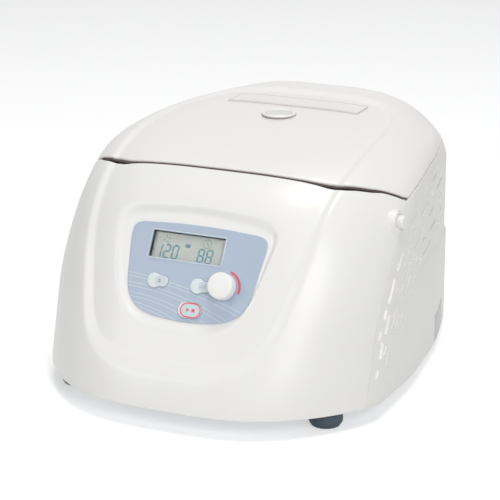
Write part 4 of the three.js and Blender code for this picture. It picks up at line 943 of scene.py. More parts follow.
@dataclass
class LidSeamShade:
    """A dark strip under the lid's front edge: painted shade that stands in for the shadow line in the front
    seam.
    """

    housing: Housing
    depth = 1.5
    thickness = 0.9
    width_share = 0.72
    lid_share = 0.72
    end_share = 0.985
    steps = 80

    def build(self) -> bpy.types.Object:
        """Makes the strip along the front seam, set against the lid's edge."""
        seams, point = self.housing.seams, self.housing.point
        end = seams.corner_across * self.end_share
        line, outs = [], []
        for k in range(self.steps * 2 + 1):
            across = end * (k / self.steps - 1)
            angle = seams.fronts[1](across) * self.lid_share + seams.fronts[-1](across) * (1 - self.lid_share)
            place = point(across, angle)
            aside, ahead = point(across + 0.004, angle) - place, point(across, angle + 0.3) - place
            out = aside.cross(ahead).normalized()
            line.append(place - out * (self.depth + self.thickness / 2))
            outs.append(out)
        return ribbon("lid_seal", [line], [outs], seams.lid_gap * self.width_share, self.thickness)


class SidePanel:
    """A side of the housing: shoulder, bowed cheek with its raised sweep, and the vent slots."""

    thickness = 2.6
    rounding = 0.4
    edge_run, edge_step = 170.0, 1.7
    inward_run, inward_step = 230.0, 2.0
    fillet_rows = 9
    rim_rows = (0, 0.03, 0.12, 0.35, 0.65)
    rim_turn = 0.25
    sweep_rise = 1.6
    sweep_width = 3.6
    sweep_hub = (100.0, -60.0)
    slot_width = 3.4
    slot_reach = 1.75
    slot_face_depth = 0.06
    sweep_shares = (
        (-0.36, -0.1), (-0.319, 0.144), (-0.266, 0.222), (-0.166, 0.317), (-0.021, 0.398), (0.191, 0.448),
        (0.36, 0.458), (0.542, 0.448), (0.853, 0.427), (1.2, 0.4),
    )
    slot_shares = (
        (0.556, 0.765, 0.425, 0.755), (0.756, 0.7, 0.556, 0.695), (0.281, 0.755, 0.25, 0.745),
        (0.425, 0.7, 0.394, 0.695), (0.719, 0.64, 0.65, 0.635), (0.338, 0.695, 0.188, 0.67),
        (0.488, 0.64, 0.363, 0.625), (0.794, 0.575, 0.688, 0.57), (0.094, 0.72, -0.081, 0.645),
        (0.581, 0.57, 0.388, 0.56), (0.775, 0.515, 0.738, 0.51), (0.656, 0.515, 0.6, 0.51),
        (0.119, 0.66, 0.038, 0.63), (0.219, 0.615, 0.05, 0.565), (0.294, 0.56, 0.225, 0.55),
        (0.419, 0.51, 0.238, 0.49), (-0.031, 0.605, -0.156, 0.535), (-0.169, 0.59, -0.225, 0.545),
        (-0.038, 0.53, -0.119, 0.485), (0.075, 0.515, 0.038, 0.5), (0.181, 0.49, 0.144, 0.475),
        (-0.269, 0.51, -0.331, 0.44), (-0.231, 0.49, -0.256, 0.46), (-0.15, 0.465, -0.181, 0.44),
        (-0.038, 0.475, -0.125, 0.415), (0.05, 0.455, -0.05, 0.4), (-0.363, 0.41, -0.375, 0.39),
        (-0.338, 0.385, -0.375, 0.33), (-0.25, 0.39, -0.306, 0.335), (-0.219, 0.355, -0.25, 0.32),
        (-0.144, 0.345, -0.213, 0.295), (-0.413, 0.335, -0.419, 0.32), (-0.406, 0.29, -0.425, 0.245),
        (-0.375, 0.27, -0.394, 0.25), (-0.319, 0.265, -0.369, 0.205), (-0.45, 0.19, -0.463, 0.175),
    )

    def __init__(self, housing: Housing, side: int) -> None:
        """Stores the housing and the side, 1 for right and -1 for left."""
        self.housing = housing
        self.side = side
        skin = housing.skin
        hub_y, hub_z = self.sweep_hub
        knots = [
            (-math.degrees(math.atan2(z - hub_z, y - hub_y)), math.hypot(y - hub_y, z - hub_z))
            for y, z in skin.side_view(self.sweep_shares)
        ]
        self.sweep = HermiteCurve(sorted(knots)).smoothed(3.0, 3)

    def rise(self, y: float, z: float) -> float:
        """Returns how far the cheek stands proud at a side-view place."""
        hub_y, hub_z = self.sweep_hub
        turn = -math.degrees(math.atan2(z - hub_z, y - hub_y))
        inside = self.sweep(turn) - math.hypot(y - hub_y, z - hub_z)
        return self.sweep_rise * smooth_step(inside / self.sweep_width + 0.5)

    def columns(self) -> list[Pair]:
        """Returns the fan angles and how far across the panel's outer edge lies at each."""
        seams = self.housing.seams
        first, corner = self.housing.skin.first_angle, seams.corner_angle
        out = []
        for share in spaced(self.edge_run, self.edge_step, self.rounding, both=False):
            angle = first + (corner - first) * share
            out.append((angle, seams.part_across(angle, -seams.side_gap / 2)))
        for share in spaced(self.edge_run, self.edge_step, self.rounding)[::-1][1:]:
            angle = 90 - (90 - corner) * share
            out.append((angle, seams.side_across(angle, -seams.lid_side_gap / 2)))
        return out

    def build(self) -> bpy.types.Object:
        """Makes the panel's wall and cuts the slots."""
        skin = self.housing.skin
        share = skin.shoulder / skin.half_width
        rows = self.fillet_rows
        inward = spaced(self.inward_run, self.inward_step, self.rounding, both=False)[1:]
        columns = self.columns()
        grid = np.zeros((rows + len(self.rim_rows) + len(inward), len(columns), 3))
        extra = np.zeros(grid.shape[:2])
        for j, (angle, edge) in enumerate(columns):
            start = math.asin(min(1.0, max(0.0, (edge - 1 + share) / share)))
            room = math.pi / 2 - start
            first = min(self.rim_turn, room / 4)
            steps = [first * s for s in self.rim_rows]
            steps += [first + (room - first) * k / (rows - 1) for k in range(rows)]
            places = [(1 - share + share * math.sin(start + s), 0.0) for s in steps]
            places += [(1.0, s) for s in inward]
            for i, (across, s) in enumerate(places):
                y, z = skin.flat(angle, skin.reach(across, angle) * (1 - s))
                extra[i, j] = min(self.rise(y, z), skin.half_width - across * skin.cheek(y))
                grid[i, j] = (self.side * (across * skin.cheek(y) + extra[i, j]), y, z)
        name = "side_skin_right" if self.side > 0 else "side_skin_left"
        wall = Wall(grid, (self.side, 0, 0), self.thickness, self.rounding, None, True, extra).build(name)
        cut(wall, [self.slots()])
        shade_by_angle(wall, 40)
        return wall

    def slot_lines(self) -> list[list[Pair]]:
        """Returns the ends of each slot's centre line in the side view."""
        return [self.housing.skin.side_view((row[:2], row[2:])) for row in self.slot_shares]

    def slot_faces(self, obj: bpy.types.Object) -> np.ndarray:
        """Returns 1 for each face inside a slot, which gets the slot walls' painted light, and 0 for the
        others.
        """
        centres = np.empty(len(obj.data.polygons) * 3)
        obj.data.polygons.foreach_get("center", centres)
        centres = centres.reshape(-1, 3) / MM
        places = centres[:, 1:]
        near = np.zeros(len(places), bool)
        for ends in self.slot_lines():
            start, end = (np.array(p) for p in ends)
            run = end - start
            share = np.clip((places - start) @ run / (run @ run), 0, 1)
            near |= np.linalg.norm(places - start - share[:, None] * run, axis=1) < self.slot_width / 2
        ys = np.arange(-170.0, 171.0)
        cheek = np.interp(places[:, 0], ys, [self.housing.skin.cheek(y) for y in ys])
        return (near & (cheek - np.abs(centres[:, 0]) > self.slot_face_depth)).astype(np.int32)

    def slots(self) -> bpy.types.Object:
        """Makes the slot cutters from centre lines by geometry nodes, stretched through the wall."""
        cheek = self.housing.skin.cheek
        verts = [(self.side * cheek(y), y, z) for ends in self.slot_lines() for y, z in ends]
        edges = [(k, k + 1) for k in range(0, len(verts), 2)]
        obj = line_object("slot_cutter", verts, edges, [(1, 0, 0)] * len(verts))
        run_nodes(obj, slot_tree(), {"Radius": self.slot_width / 2 * MM})
        for vertex in obj.data.vertices:
            middle = self.side * cheek(vertex.co.y / MM) * MM
            vertex.co.x = middle + (vertex.co.x - middle) * self.slot_reach
        return obj


def line_object(name: str, points: Sequence[Sequence[float]], edges: Sequence[tuple[int, int]],
                normals: Sequence[Sequence[float]]) -> bpy.types.Object:
    """Makes an object of bare lines that carry their surface's direction, for geometry nodes to build on."""
    mesh = bpy.data.meshes.new(name)
    mesh.from_pydata([tuple(c * MM for c in p) for p in points], list(edges), [])
    layer = mesh.attributes.new("out", "FLOAT_VECTOR", "POINT")
    for item, normal in zip(layer.data, normals):
        item.vector = normal
    obj = bpy.data.objects.new(name, mesh)
    bpy.context.scene.collection.objects.link(obj)
    return obj


def run_nodes(obj: bpy.types.Object, tree: bpy.types.NodeTree, values: dict[str, object]) -> bpy.types.Object:
    """Runs a geometry node tree on an object and keeps the result as its plain mesh.

    Args:
        obj: the object.
        tree: the tree.
        values: value of each named input.
    """
    mod = obj.modifiers.new(tree.name, "NODES")
    mod.node_group = tree
    for item in tree.interface.items_tree:
        if item.item_type == "SOCKET" and item.in_out == "INPUT" and item.name in values:
            mod[item.identifier] = values[item.name]
    return settle(obj)


def node_group(name: str, kind: str, inputs: dict[str, str],
               outputs: dict[str, str]) -> tuple[bpy.types.NodeTree, bpy.types.Node, bpy.types.Node]:
    """Makes a node group with named sockets, and returns it with its input and output nodes.

    Args:
        name: the group's name.
        kind: Geometry or Shader.
        inputs: socket kind of each named input.
        outputs: socket kind of each named output.
    """
    tree = bpy.data.node_groups.new(name, kind + "NodeTree")
    for way, sockets in (("INPUT", inputs), ("OUTPUT", outputs)):
        for label, socket in sockets.items():
            tree.interface.new_socket(label, in_out=way, socket_type="NodeSocket" + socket)
    return tree, tree.nodes.new("NodeGroupInput"), tree.nodes.new("NodeGroupOutput")


def wire(tree: bpy.types.NodeTree, *links: tuple) -> None:
    """Joins nodes, for each link given as a node, its output, another node and that one's input."""
    for source, output, target, entry in links:
        tree.links.new(source.outputs[output], target.inputs[entry])


def math_node(tree: bpy.types.NodeTree, operation: str, left: object, right: object) -> bpy.types.NodeSocket:
    """Adds a Math node over sockets or numbers and returns its output."""
    made = tree.nodes.new("ShaderNodeMath")
    made.operation = operation
    for socket, value in zip(made.inputs, (left, right)):
        if isinstance(value, (int, float)):
            socket.default_value = value
        else:
            tree.links.new(value, socket)
    return made.outputs[0]


@cache
def slot_tree() -> bpy.types.NodeTree:
    """Returns the slot cutters' tree: a tube along each line with a ball at each end."""
    tree, start, end = node_group(
        "slot_cutters", "Geometry", {"Geometry": "Geometry", "Radius": "Float"}, {"Geometry": "Geometry"})
    curve, round_line, tube, ball, places, real, both = (tree.nodes.new("GeometryNode" + kind) for kind in (
        "MeshToCurve", "CurvePrimitiveCircle", "CurveToMesh", "MeshUVSphere", "InstanceOnPoints",
        "RealizeInstances", "JoinGeometry"))
    round_line.inputs["Resolution"].default_value = 20
    tube.inputs["Fill Caps"].default_value = True
    ball.inputs["Segments"].default_value = 20
    ball.inputs["Rings"].default_value = 11
    wire(tree, (start, 0, curve, 0), (start, "Radius", round_line, "Radius"),
         (start, "Radius", ball, "Radius"), (curve, 0, tube, "Curve"),
         (round_line, 0, tube, "Profile Curve"), (start, 0, places, "Points"),
         (ball, "Mesh", places, "Instance"), (places, 0, real, 0), (real, 0, both, 0), (tube, 0, both, 0),
         (both, 0, end, 0))
    return tree


@cache
def ribbon_tree() -> bpy.types.NodeTree:
    """Returns the tree of printed lines and trim: a strip along each line, lying on its surface."""
    tree, start, end = node_group(
        "printed_lines", "Geometry", {"Geometry": "Geometry", "Width": "Float", "Thickness": "Float"},
        {"Geometry": "Geometry"})
    curve, facing, out, strip, swept, real = (tree.nodes.new("GeometryNode" + kind) for kind in (
        "MeshToCurve", "SetCurveNormal", "InputNamedAttribute", "CurvePrimitiveQuadrilateral", "CurveToMesh",
        "RealizeInstances"))
    facing.mode = "FREE"
    out.data_type = "FLOAT_VECTOR"
    out.inputs["Name"].default_value = "out"
    swept.inputs["Fill Caps"].default_value = True
    wire(tree, (start, 0, curve, 0), (curve, 0, facing, "Curve"), (out, "Attribute", facing, "Normal"),
         (start, "Thickness", strip, "Width"), (start, "Width", strip, "Height"), (facing, 0, swept, "Curve"),
         (strip, 0, swept, "Profile Curve"), (swept, 0, real, 0), (real, 0, end, 0))
    return tree


def ribbon(name: str, lines: Sequence[Sequence[Vector]], outs: Sequence[Sequence[Vector]], width: float,
           thickness: float, closed: bool = False) -> bpy.types.Object:
    """Makes strips along lines of points, with the surface direction at each point.

    Args:
        name: the piece's name.
        lines: points of each line, millimetres.
        outs: surface directions at those points.
        width: strip width.
        thickness: strip thickness, half of it above the points.
        closed: whether each line joins up.
    """
    verts: list[Vector] = []
    normals: list[Vector] = []
    edges: list[tuple[int, int]] = []
    for line, out in zip(lines, outs):
        start = len(verts)
        verts += line
        normals += out
        edges += [(start + k, start + k + 1) for k in range(len(line) - 1)]
        if closed:
            edges.append((len(verts) - 1, start))
    obj = line_object(name, verts, edges, [tuple(n) for n in normals])
    run_nodes(obj, ribbon_tree(), {"Width": width * MM, "Thickness": thickness * MM})
    fix_normals(obj)
    shade_by_angle(obj, 40)
    return obj


# Finishes


class Grain(Enum):
    """How a surface varies."""

    MOULDED = "moulded"
    TURNED = "turned"
    BRUSHED = "brushed"
    RUBBER = "rubber"


@dataclass(frozen=True)
class Finish:
    """A surface finish. Colours are on the 0-255 screen scale, grain sizes in millimetres."""

    name: str
    colour: tuple[int, int, int]
    roughness: float = 0.4
    grain: Grain = Grain.MOULDED
    size: float = 0.7
    relief: float = 0.02
    variation: float = 0.03
    metallic: float = 0.0
    coat: float = 0.0
    clear: float = 0.0
    alpha: float = 1.0
    centre: tuple[float, float, float] = (0.0, 0.0, 0.0)

    def linear(self) -> tuple[float, float, float, float]:
        """Returns the colour on the linear scale."""
        parts = [((c / 255 + 0.055) / 1.055) ** 2.4 if c > 10 else c / 255 / 12.92 for c in self.colour]
        return parts[0], parts[1], parts[2], 1.0


def grain_place(tree: bpy.types.NodeTree, grain: Grain,
                start: bpy.types.Node) -> tuple[bpy.types.Node, object]:
    """Returns the node and the output with the coordinates that the fine grain reads."""
    new = tree.nodes.new
    if grain is Grain.BRUSHED:
        squeeze = new("ShaderNodeMapping")
        squeeze.inputs["Scale"].default_value = (0.04, 1, 1)
        wire(tree, (start, "Place", squeeze, "Vector"))
        return squeeze, 0
    if grain is Grain.TURNED:
        split, flat, ring = (new("ShaderNode" + kind) for kind in ("SeparateXYZ", "CombineXYZ", "CombineXYZ"))
        length = new("ShaderNodeVectorMath")
        length.operation = "LENGTH"
        wire(tree, (start, "Place", split, 0), (split, 0, flat, 0), (split, 1, flat, 1), (flat, 0, length, 0),
             (length, "Value", ring, 0), (split, 2, ring, 1))
        return ring, 0
    return start, "Place"


@cache
def grain_group(grain: Grain) -> bpy.types.NodeTree:
    """Returns a grain's shader group: coarse drift of tone, fine grain for height and roughness."""
    tree, start, end = node_group(
        grain.value + "_grain", "Shader",
        {"Place": "Vector", "Colour": "Color", "Roughness": "Float", "Variation": "Float", "Scale": "Float"},
        {"Colour": "Color", "Roughness": "Float", "Height": "Float"},
    )
    fine, broad, tint = (
        tree.nodes.new("ShaderNode" + kind) for kind in ("TexNoise", "TexNoise", "VectorMath"))
    fine.inputs["Detail"].default_value = 3
    broad.inputs["Scale"].default_value = 9
    broad.inputs["Detail"].default_value = 2
    tint.operation = "SCALE"
    place, output = grain_place(tree, grain, start)
    fine_share = 0.35 if grain is Grain.MOULDED else 0.7
    tone = math_node(
        tree, "ADD", math_node(tree, "MULTIPLY", fine.outputs[0], fine_share),
        math_node(tree, "MULTIPLY", broad.outputs[0], 1 - fine_share),
    )
    swing = math_node(tree, "MULTIPLY", math_node(tree, "SUBTRACT", tone, 0.5), start.outputs["Variation"])
    tree.links.new(math_node(tree, "ADD", swing, 1.0), tint.inputs["Scale"])
    spread = math_node(tree, "MULTIPLY", swing, 1.5)
    tree.links.new(math_node(tree, "ADD", start.outputs["Roughness"], spread), end.inputs["Roughness"])
    wire(tree, (place, output, fine, "Vector"), (start, "Scale", fine, "Scale"),
         (start, "Place", broad, "Vector"), (start, "Colour", tint, 0), (tint, 0, end, "Colour"),
         (fine, 0, end, "Height"))
    return tree


class Paint:
    """Makes each finish's material once and puts it on pieces."""

    def __init__(self) -> None:
        """Starts with no material made."""
        self.made: dict[str, bpy.types.Material] = {}

    def material(self, finish: Finish) -> bpy.types.Material:
        """Returns the material of a finish."""
        if finish.name in self.made:
            return self.made[finish.name]
        mat = bpy.data.materials.new(finish.name)
        mat.use_nodes = True
        tree = mat.node_tree
        shader = next(n for n in tree.nodes if n.type == "BSDF_PRINCIPLED")
        where, middle, grain, bump = (
            tree.nodes.new("ShaderNode" + kind) for kind in ("TexCoord", "Mapping", "Group", "Bump"))
        grain.node_tree = grain_group(finish.grain)
        wire(tree, (where, "Object", middle, "Vector"), (middle, 0, grain, "Place"),
             (grain, "Colour", shader, "Base Color"), (grain, "Roughness", shader, "Roughness"),
             (grain, "Height", bump, "Height"), (bump, 0, shader, "Normal"))
        values = (
            (middle, {"Location": [-c * MM for c in finish.centre]}),
            (grain, {"Colour": finish.linear(), "Roughness": finish.roughness, "Variation": finish.variation,
                     "Scale": 1 / (finish.size * MM)}),
            (bump, {"Strength": 0.5, "Distance": finish.relief * MM}),
            (shader, {"Metallic": finish.metallic, "Coat Weight": finish.coat, "Coat Roughness": 0.15,
                      "Transmission Weight": finish.clear, "Alpha": finish.alpha}),
        )
        for node, settings in values:
            for label, value in settings.items():
                node.inputs[label].default_value = value
        if finish.clear or finish.alpha < 1:
            shader.inputs["IOR"].default_value = 1.3
        self.made[finish.name] = mat
        return mat

    def on(self, obj: bpy.types.Object, finish: Finish) -> bpy.types.Object:
        """Puts a finish on a piece, in place of what it has."""
        obj.data.materials.clear()
        obj.data.materials.append(self.material(finish))
        return obj


SHELL = Finish("shell_plastic", (240, 239, 236), 0.38, size=0.6, relief=0.012, variation=0.02, coat=0.12)
SIDE = Finish("side_plastic", (236, 235, 232), 0.42, size=0.6, relief=0.014, variation=0.02, coat=0.08)
# Painted light: the slot walls are painted brighter than the side plastic, standing in for the light that falls
# on their far walls.
SLOT_PAINTED_LIGHT = Finish("slot_wall_painted_light", (252, 251, 249), 0.5, size=0.6, relief=0.01, variation=0.01)
LID = Finish("lid_plastic", (241, 239, 237), 0.36, size=0.6, relief=0.012, variation=0.02, coat=0.15)
KNOB = Finish("knob_plastic", (246, 245, 242), 0.5, size=0.4, relief=0.01, variation=0.02)
KEY = Finish("key_silicone", (208, 221, 226), 0.55, size=0.5, relief=0.01, variation=0.03)
KEY_PALE = Finish("key_cap_white", (226, 234, 236), 0.5, size=0.5, relief=0.01, variation=0.03)
FILM = Finish("panel_film", (176, 190, 208), 0.42, size=0.35, relief=0.008, variation=0.05, coat=0.1)
FILM_LINE = Finish("film_line_ink", (208, 220, 226), 0.45, size=0.5, relief=0.004, variation=0.04)
RED_INK = Finish("red_ink", (233, 92, 108), 0.45, size=0.5, relief=0.004, variation=0.05)
GREY_INK = Finish("grey_ink", (150, 140, 136), 0.5, size=0.5, relief=0.004, variation=0.05)
LABEL = Finish("label_film", (240, 238, 235), 0.42, size=0.5, relief=0.006, variation=0.03, coat=0.1)
LABEL_BAND = Finish("label_band_ink", (226, 221, 216), 0.45, size=0.5, relief=0.004, variation=0.04)
DISPLAY = Finish("display_glass_cell", (178, 183, 178), 0.35, size=0.4, relief=0.004, variation=0.04)
SEGMENT = Finish("display_segment", (52, 128, 142), 0.4, size=0.4, relief=0.003, variation=0.1)
# Painted shade: the display frame's dark colour stands in for the shadow inside the display's recess.
DISPLAY_SHADE_FRAME = Finish("display_frame_painted_shade", (58, 66, 74), 0.5, size=0.5, relief=0.01, variation=0.06)
GASKET = Finish("ring_gasket", (186, 176, 168), 0.6, Grain.RUBBER, size=0.6, relief=0.02, variation=0.08)
CLEAR = Finish("clear_plastic", (250, 251, 250), 0.06, size=2.0, relief=0.002, variation=0.02, clear=1.0)
LENS = Finish("window_lens", (248, 247, 244), 0.22, size=1.0, relief=0.01, variation=0.04, alpha=0.8)
LABEL_LINE = Finish("label_line_ink", (196, 188, 182), 0.5, size=0.5, relief=0.004, variation=0.05)
RUBBER = Finish("foot_rubber", (70, 84, 95), 0.68, Grain.RUBBER, size=0.8, relief=0.05, variation=0.18)
SEAL = Finish("seal_rubber", (52, 56, 60), 0.62, Grain.RUBBER, size=0.6, relief=0.03, variation=0.15)
# Painted shade: a dark brown strip colour that stands in for the shadow in the lid's front seam.
SEAM_SHADE_BROWN = Finish("lid_seal_rubber", (66, 52, 50), 0.7, Grain.RUBBER, size=0.8, relief=0.02, variation=0.15)
STEEL = Finish("turned_steel", (188, 190, 192), 0.3, Grain.TURNED, size=0.5, relief=0.01, variation=0.14,
               metallic=1.0, centre=(0, 45, 0))
ZINC = Finish("zinc_plate", (172, 176, 180), 0.42, Grain.BRUSHED, size=0.5, relief=0.01, variation=0.16,
              metallic=1.0)
ALUMINIUM = Finish("turned_aluminium", (205, 206, 208), 0.32, Grain.TURNED, size=0.35, relief=0.008,
                   variation=0.12, metallic=1.0, centre=(0, 45, 0))
BLACK = Finish("black_plastic", (38, 39, 41), 0.45, size=0.6, relief=0.02, variation=0.12)
BOARD = Finish("circuit_board", (46, 96, 62), 0.45, size=1.2, relief=0.02, variation=0.3)
PLATE = Finish("rating_plate", (176, 176, 178), 0.4, Grain.BRUSHED, size=0.4, relief=0.006, variation=0.1,
               metallic=0.6)
SLOT_FINISH = {
    "shell": SHELL, "side": SIDE, "lid": LID, "clear": CLEAR, "key": KEY, "knob": KNOB, "film": FILM,
    "lcd": DISPLAY, "board": BOARD, "rubber": SEAL, "steel": STEEL, "zinc": ZINC, "aluminium": ALUMINIUM,
    "black": BLACK, "plate": PLATE,
}


@dataclass
class Kit:
    """Puts finished pieces on their bodies and keeps count of them."""

    paint: Paint
    count: int = 0

    def fit(self, obj: bpy.types.Object, body: str, finish: Finish, slot: str,
            replaced: Sequence[str] = ()) -> bpy.types.Object:
        """Finishes a piece, fixes it to a body and hides the CAD nodes that it stands for.

        Args:
            obj: the piece.
            body: the CAD body it rides on.
            finish: its finish.
            slot: the record's material slot; not used.
            replaced: CAD nodes it replaces.
        """
        self.paint.on(obj, finish)
        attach(obj, body)
        if replaced:
            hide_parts(*replaced)
        self.count += 1
        LOG.info("%s on %s: %d faces", obj.name, body, len(obj.data.polygons))
        return obj

    def accent(self, obj: bpy.types.Object, finish: Finish, faces: np.ndarray) -> None:
        """Gives the faces marked 1 a finish of their own.

        Args:
            obj: the finished piece.
            finish: the second finish.
            faces: 0 or 1 for each face.
        """
        obj.data.materials.append(self.paint.material(finish))
        obj.data.polygons.foreach_set("material_index", faces)
        obj.data.update()


# Control panel


@dataclass
class Key:
    """A silicone key: a round pad with a lozenge running out of it to the right. Millimetres."""

    body: str
    x: float
    angle: float
    round: float
    pill: float
    width: float
    rise: float = 1.9
    seat: float = 2.6
    edge: float = 0.5

    def outline(self, grow: float = 0.0, cuts: int = 28) -> list[Pair]:
        """Returns the outline of the key, grown by a margin."""
        big, small = self.round / 2 + grow, self.pill / 2 + grow
        left = (self.round - self.width) / 2
        right = self.width / 2 + grow - small
        start = math.asin(small / big) if small < big else math.pi / 2
        out = []
        for k in range(cuts * 2 + 1):
            a = start + (2 * math.pi - 2 * start) * k / (cuts * 2)
            out.append((left + big * math.cos(a), big * math.sin(a)))
        for k in range(cuts + 1):
            a = -math.pi / 2 + math.pi * k / cuts
            out.append((right + small * math.cos(a), small * math.sin(a)))
        return out

    def lozenge(self, inset: float, cuts: int = 16) -> list[Pair]:
        """Returns the outline of the key's lozenge, taken in by an inset."""
        half = self.pill / 2 - inset
        left, right = self.lozenge_span()
        out = []
        for centre, turn in ((right - self.pill / 2, -math.pi / 2), (left + self.pill / 2, math.pi / 2)):
            for k in range(cuts + 1):
                a = turn + math.pi * k / cuts
                out.append((centre + half * math.cos(a), half * math.sin(a)))
        return out

    def lozenge_span(self) -> Pair:
        """Returns the lozenge's left and right ends."""
        return (1.9 if self.body == "start_stop" else self.round / 2) - self.width / 2, self.width / 2


KEYS = (
    Key("select", -26.2, 19.5, 11.8, 8.6, 17.2),
    Key("pulse", 9.6, 19.5, 11.8, 8.6, 16.4),
    Key("start_stop", 4.6, 15.8, 12.5, 11.6, 19.2),
)


class ControlPanel:
    """The printed film on the panel floor, with display, keys and printed lines."""

    film_top = 0.7
    film_foot = 0.4
    film_ways, film_rings = 220, 34
    film_rim = ((0.992, 0.0), (0.996, 0.05), (0.999, 0.15), (1.0, 0.3))
    gap = 0.3
    lcd_x, lcd_angle, lcd_width, lcd_height = -8.1, 25.15, 60.4, 20.8
    knob_x, knob_angle, knob_hole = 28.3, 19.9, 4.0
    print_lift = 0.03
    print_margin = 0.4
    shortest_run = 3
    sweep_left, sweep_step, sweep_steps = -62, 0.7, 180
    sweep_middle, sweep_span = -52, 100
    line_width, line_thickness = 0.5, 0.06
    sweeps = (
        (20.24, 1.05, 2.85), (19.72, 0.7, 3.45), (18.75, 0.2, 4.6), (18.22, 0.2, 4.8), (17.31, 0.13, 6.0),
        (16.75, 0.15, 6.5), (16.0, 0.36, 8.1), (15.4, 0.3, 7.6),
    )
    arc_radius, arc_width = 12.5, 1.7
    arc_turns = (-15, 76, 3)
    frame_rim = (4, 3.6)
    frame_heights, cell_heights, lit_heights = (-4.3, -0.45), (-7.5, -4.32), (-4.33, -4.24)
    readings = (("120", -17.9, -4.2), ("88", 14.1, -4.4))
    figure_pitch, figure_width, figure_height, figure_lean = 6.9, 4.3, 10.2, 0.07
    segment_line, segment_gap = 1.45, 0.12
    lit_segments = {"0": "abcdef", "1": "bc", "2": "abged", "8": "abcdefg"}
    segment_spots = {
        "a": (0, 1, True), "g": (0, 0, True), "d": (0, -1, True), "f": (-1, 0.5, False),
        "b": (1, 0.5, False), "e": (-1, -0.5, False), "c": (1, -0.5, False),
    }
    fan_at, blocks_at, clock_at = (-19.6, 5.1), (-2.95, 1.8), (14.05, 5.25)
    blade_tilt = 0.35
    clock_hands = (
        ((13.8, 5.1), (14.25, 5.1), (14.25, 7.6), (13.8, 7.6)),
        ((13.9, 5.0), (15.5, 4.1), (15.75, 4.5), (14.1, 5.4)),
    )
    skirt = 0.9
    lozenge_inset = 0.55
    outline_width = 0.95
    pulse_wave = (
        (-3, -0.8), (-1.8, -0.8), (-1.8, 0.9), (-0.4, 0.9), (-0.4, -0.8), (1.0, -0.8), (1.0, 0.9), (2.2, 0.9),
    )
    key_marks = {
        "select": [("arrow", ((-2.6, y * 0.35), (-1.2, y * 1.5), (0.2, y * 0.35))) for y in (1, -1)],
        "start_stop": [
            ("start_mark", ((-3.4, -1.5), (-0.8, 0), (-3.4, 1.5))),
            ("stop_mark", ((1.0, -1.3), (3.6, -1.3), (3.6, 1.3), (1.0, 1.3))),
        ],
    }

    def __init__(self, housing: Housing, kit: Kit) -> None:
        """Places the display, keys and knob on the panel floor."""
        self.housing, self.kit = housing, kit
        skin, floor = housing.skin, housing.floor
        self.lcd = skin.frame(self.lcd_x, self.lcd_angle, floor)
        self.knob = skin.frame(self.knob_x, self.knob_angle, floor)
        self.keys = [(key, skin.frame(key.x, key.angle, floor)) for key in KEYS]

    def openings(self) -> list[tuple[Matrix, float, float]]:
        """Returns the openings that the casing needs behind the film."""
        out = [(self.lcd, self.lcd_width / 2 + 2.6, self.lcd_height / 2 + 2.4), (self.knob, 5.0, 5.0)]
        out += [(frame, key.width / 2 + 1.2, key.round / 2 + 1.2) for key, frame in self.keys]
        return out

    def on_film(self, x: float, angle: float, lift: float = 0.0) -> Vector:
        """Returns a point on the film's face."""
        return self.housing.skin.fan_level(x, angle, self.housing.floor - self.film_top - lift)

    def out_of(self, x: float, angle: float) -> Vector:
        """Returns the direction out of the film at a place."""
        return self.housing.skin.frame(x, angle, self.housing.floor).to_3x3().col[2]

    def build_film(self) -> bpy.types.Object:
        """Makes the film: a polar sheet with a rounded edge, cut for display, keys and knob."""
        loop, level = self.housing.film, self.housing.skin.fan_level
        top, foot = self.housing.floor - self.film_top, self.housing.floor + self.film_foot
        ways = self.film_ways
        inside = [k / self.film_rings for k in range(1, self.film_rings)]
        rings = [(spread, top) for spread in inside]
        rings += [(spread, top + drop) for spread, drop in self.film_rim]
        rings += [(spread, foot) for spread in (1.0, *reversed(inside))]
        verts = [level(loop.centre_x, loop.middle, top)]
        for spread, depth in rings:
            verts += [level(x, a, depth) for x, a in loop.skin_points(ways, spread)]
        verts.append(level(loop.centre_x, loop.middle, foot))
        layers = [range(1 + k * ways, 1 + (k + 1) * ways) for k in range(len(rings))]
        faces: list[list[int]] = []
        for k in range(ways):
            j = (k + 1) % ways
            faces.append([0, layers[0][k], layers[0][j]])
            faces.append([len(verts) - 1, layers[-1][j], layers[-1][k]])
            faces += [[low[k], high[k], high[j], low[j]] for low, high in zip(layers, layers[1:])]
        film = new_object("panel_film", verts, faces)
        fix_normals(film)
        cutters = [prism("lcd_cut", pill(self.lcd_width, self.lcd_height, 0.8), -6, 6, self.lcd)]
        cutters += [prism(key.body + "_cut", key.outline(self.gap), -6, 6, frame) for key, frame in self.keys]
        cutters.append(prism("knob_cut", circle(self.knob_hole, 48), -6, 6, self.knob))
        cut(film, cutters)
        shade_by_angle(film, 30)
        return film

    def free(self, x: float, angle: float) -> bool:
        """Returns whether a place lies on the film, clear of its edge and of the keys."""
        loop, margin = self.housing.film, self.print_margin
        p = loop.place(x, angle)
        if p.length >= loop.radius(math.degrees(math.atan2(p.y, p.x))) - margin:
            return False
        place = self.on_film(x, angle)
        for key, frame in self.keys:
            p = frame.inverted() @ place
            left = (key.round - key.width) / 2
            if math.hypot(p.x - left, p.y) < key.round / 2 + margin:
                return False
            if left < p.x < key.width / 2 + margin and abs(p.y) < key.pill / 2 + margin:
                return False
        return True

    def build_lines(self) -> bpy.types.Object:
        """Makes the pale lines that sweep over the lower film."""
        runs: list[list[Pair]] = []
        for start, slope, curl in self.sweeps:
            runs.append([])
            for i in range(self.sweep_steps + 1):
                x = self.sweep_left + i * self.sweep_step
                t = (x - self.sweep_middle) / self.sweep_span
                angle = start - slope * t - curl * t * abs(t)
                if self.free(x, angle):
                    runs[-1].append((x, angle))
                elif runs[-1]:
                    runs.append([])
        runs = [run for run in runs if len(run) > self.shortest_run]
        points = [[self.on_film(x, a, self.print_lift) for x, a in run] for run in runs]
        outs = [[self.out_of(x, a) for x, a in run] for run in runs]
        return ribbon("film_lines", points, outs, self.line_width, self.line_thickness)

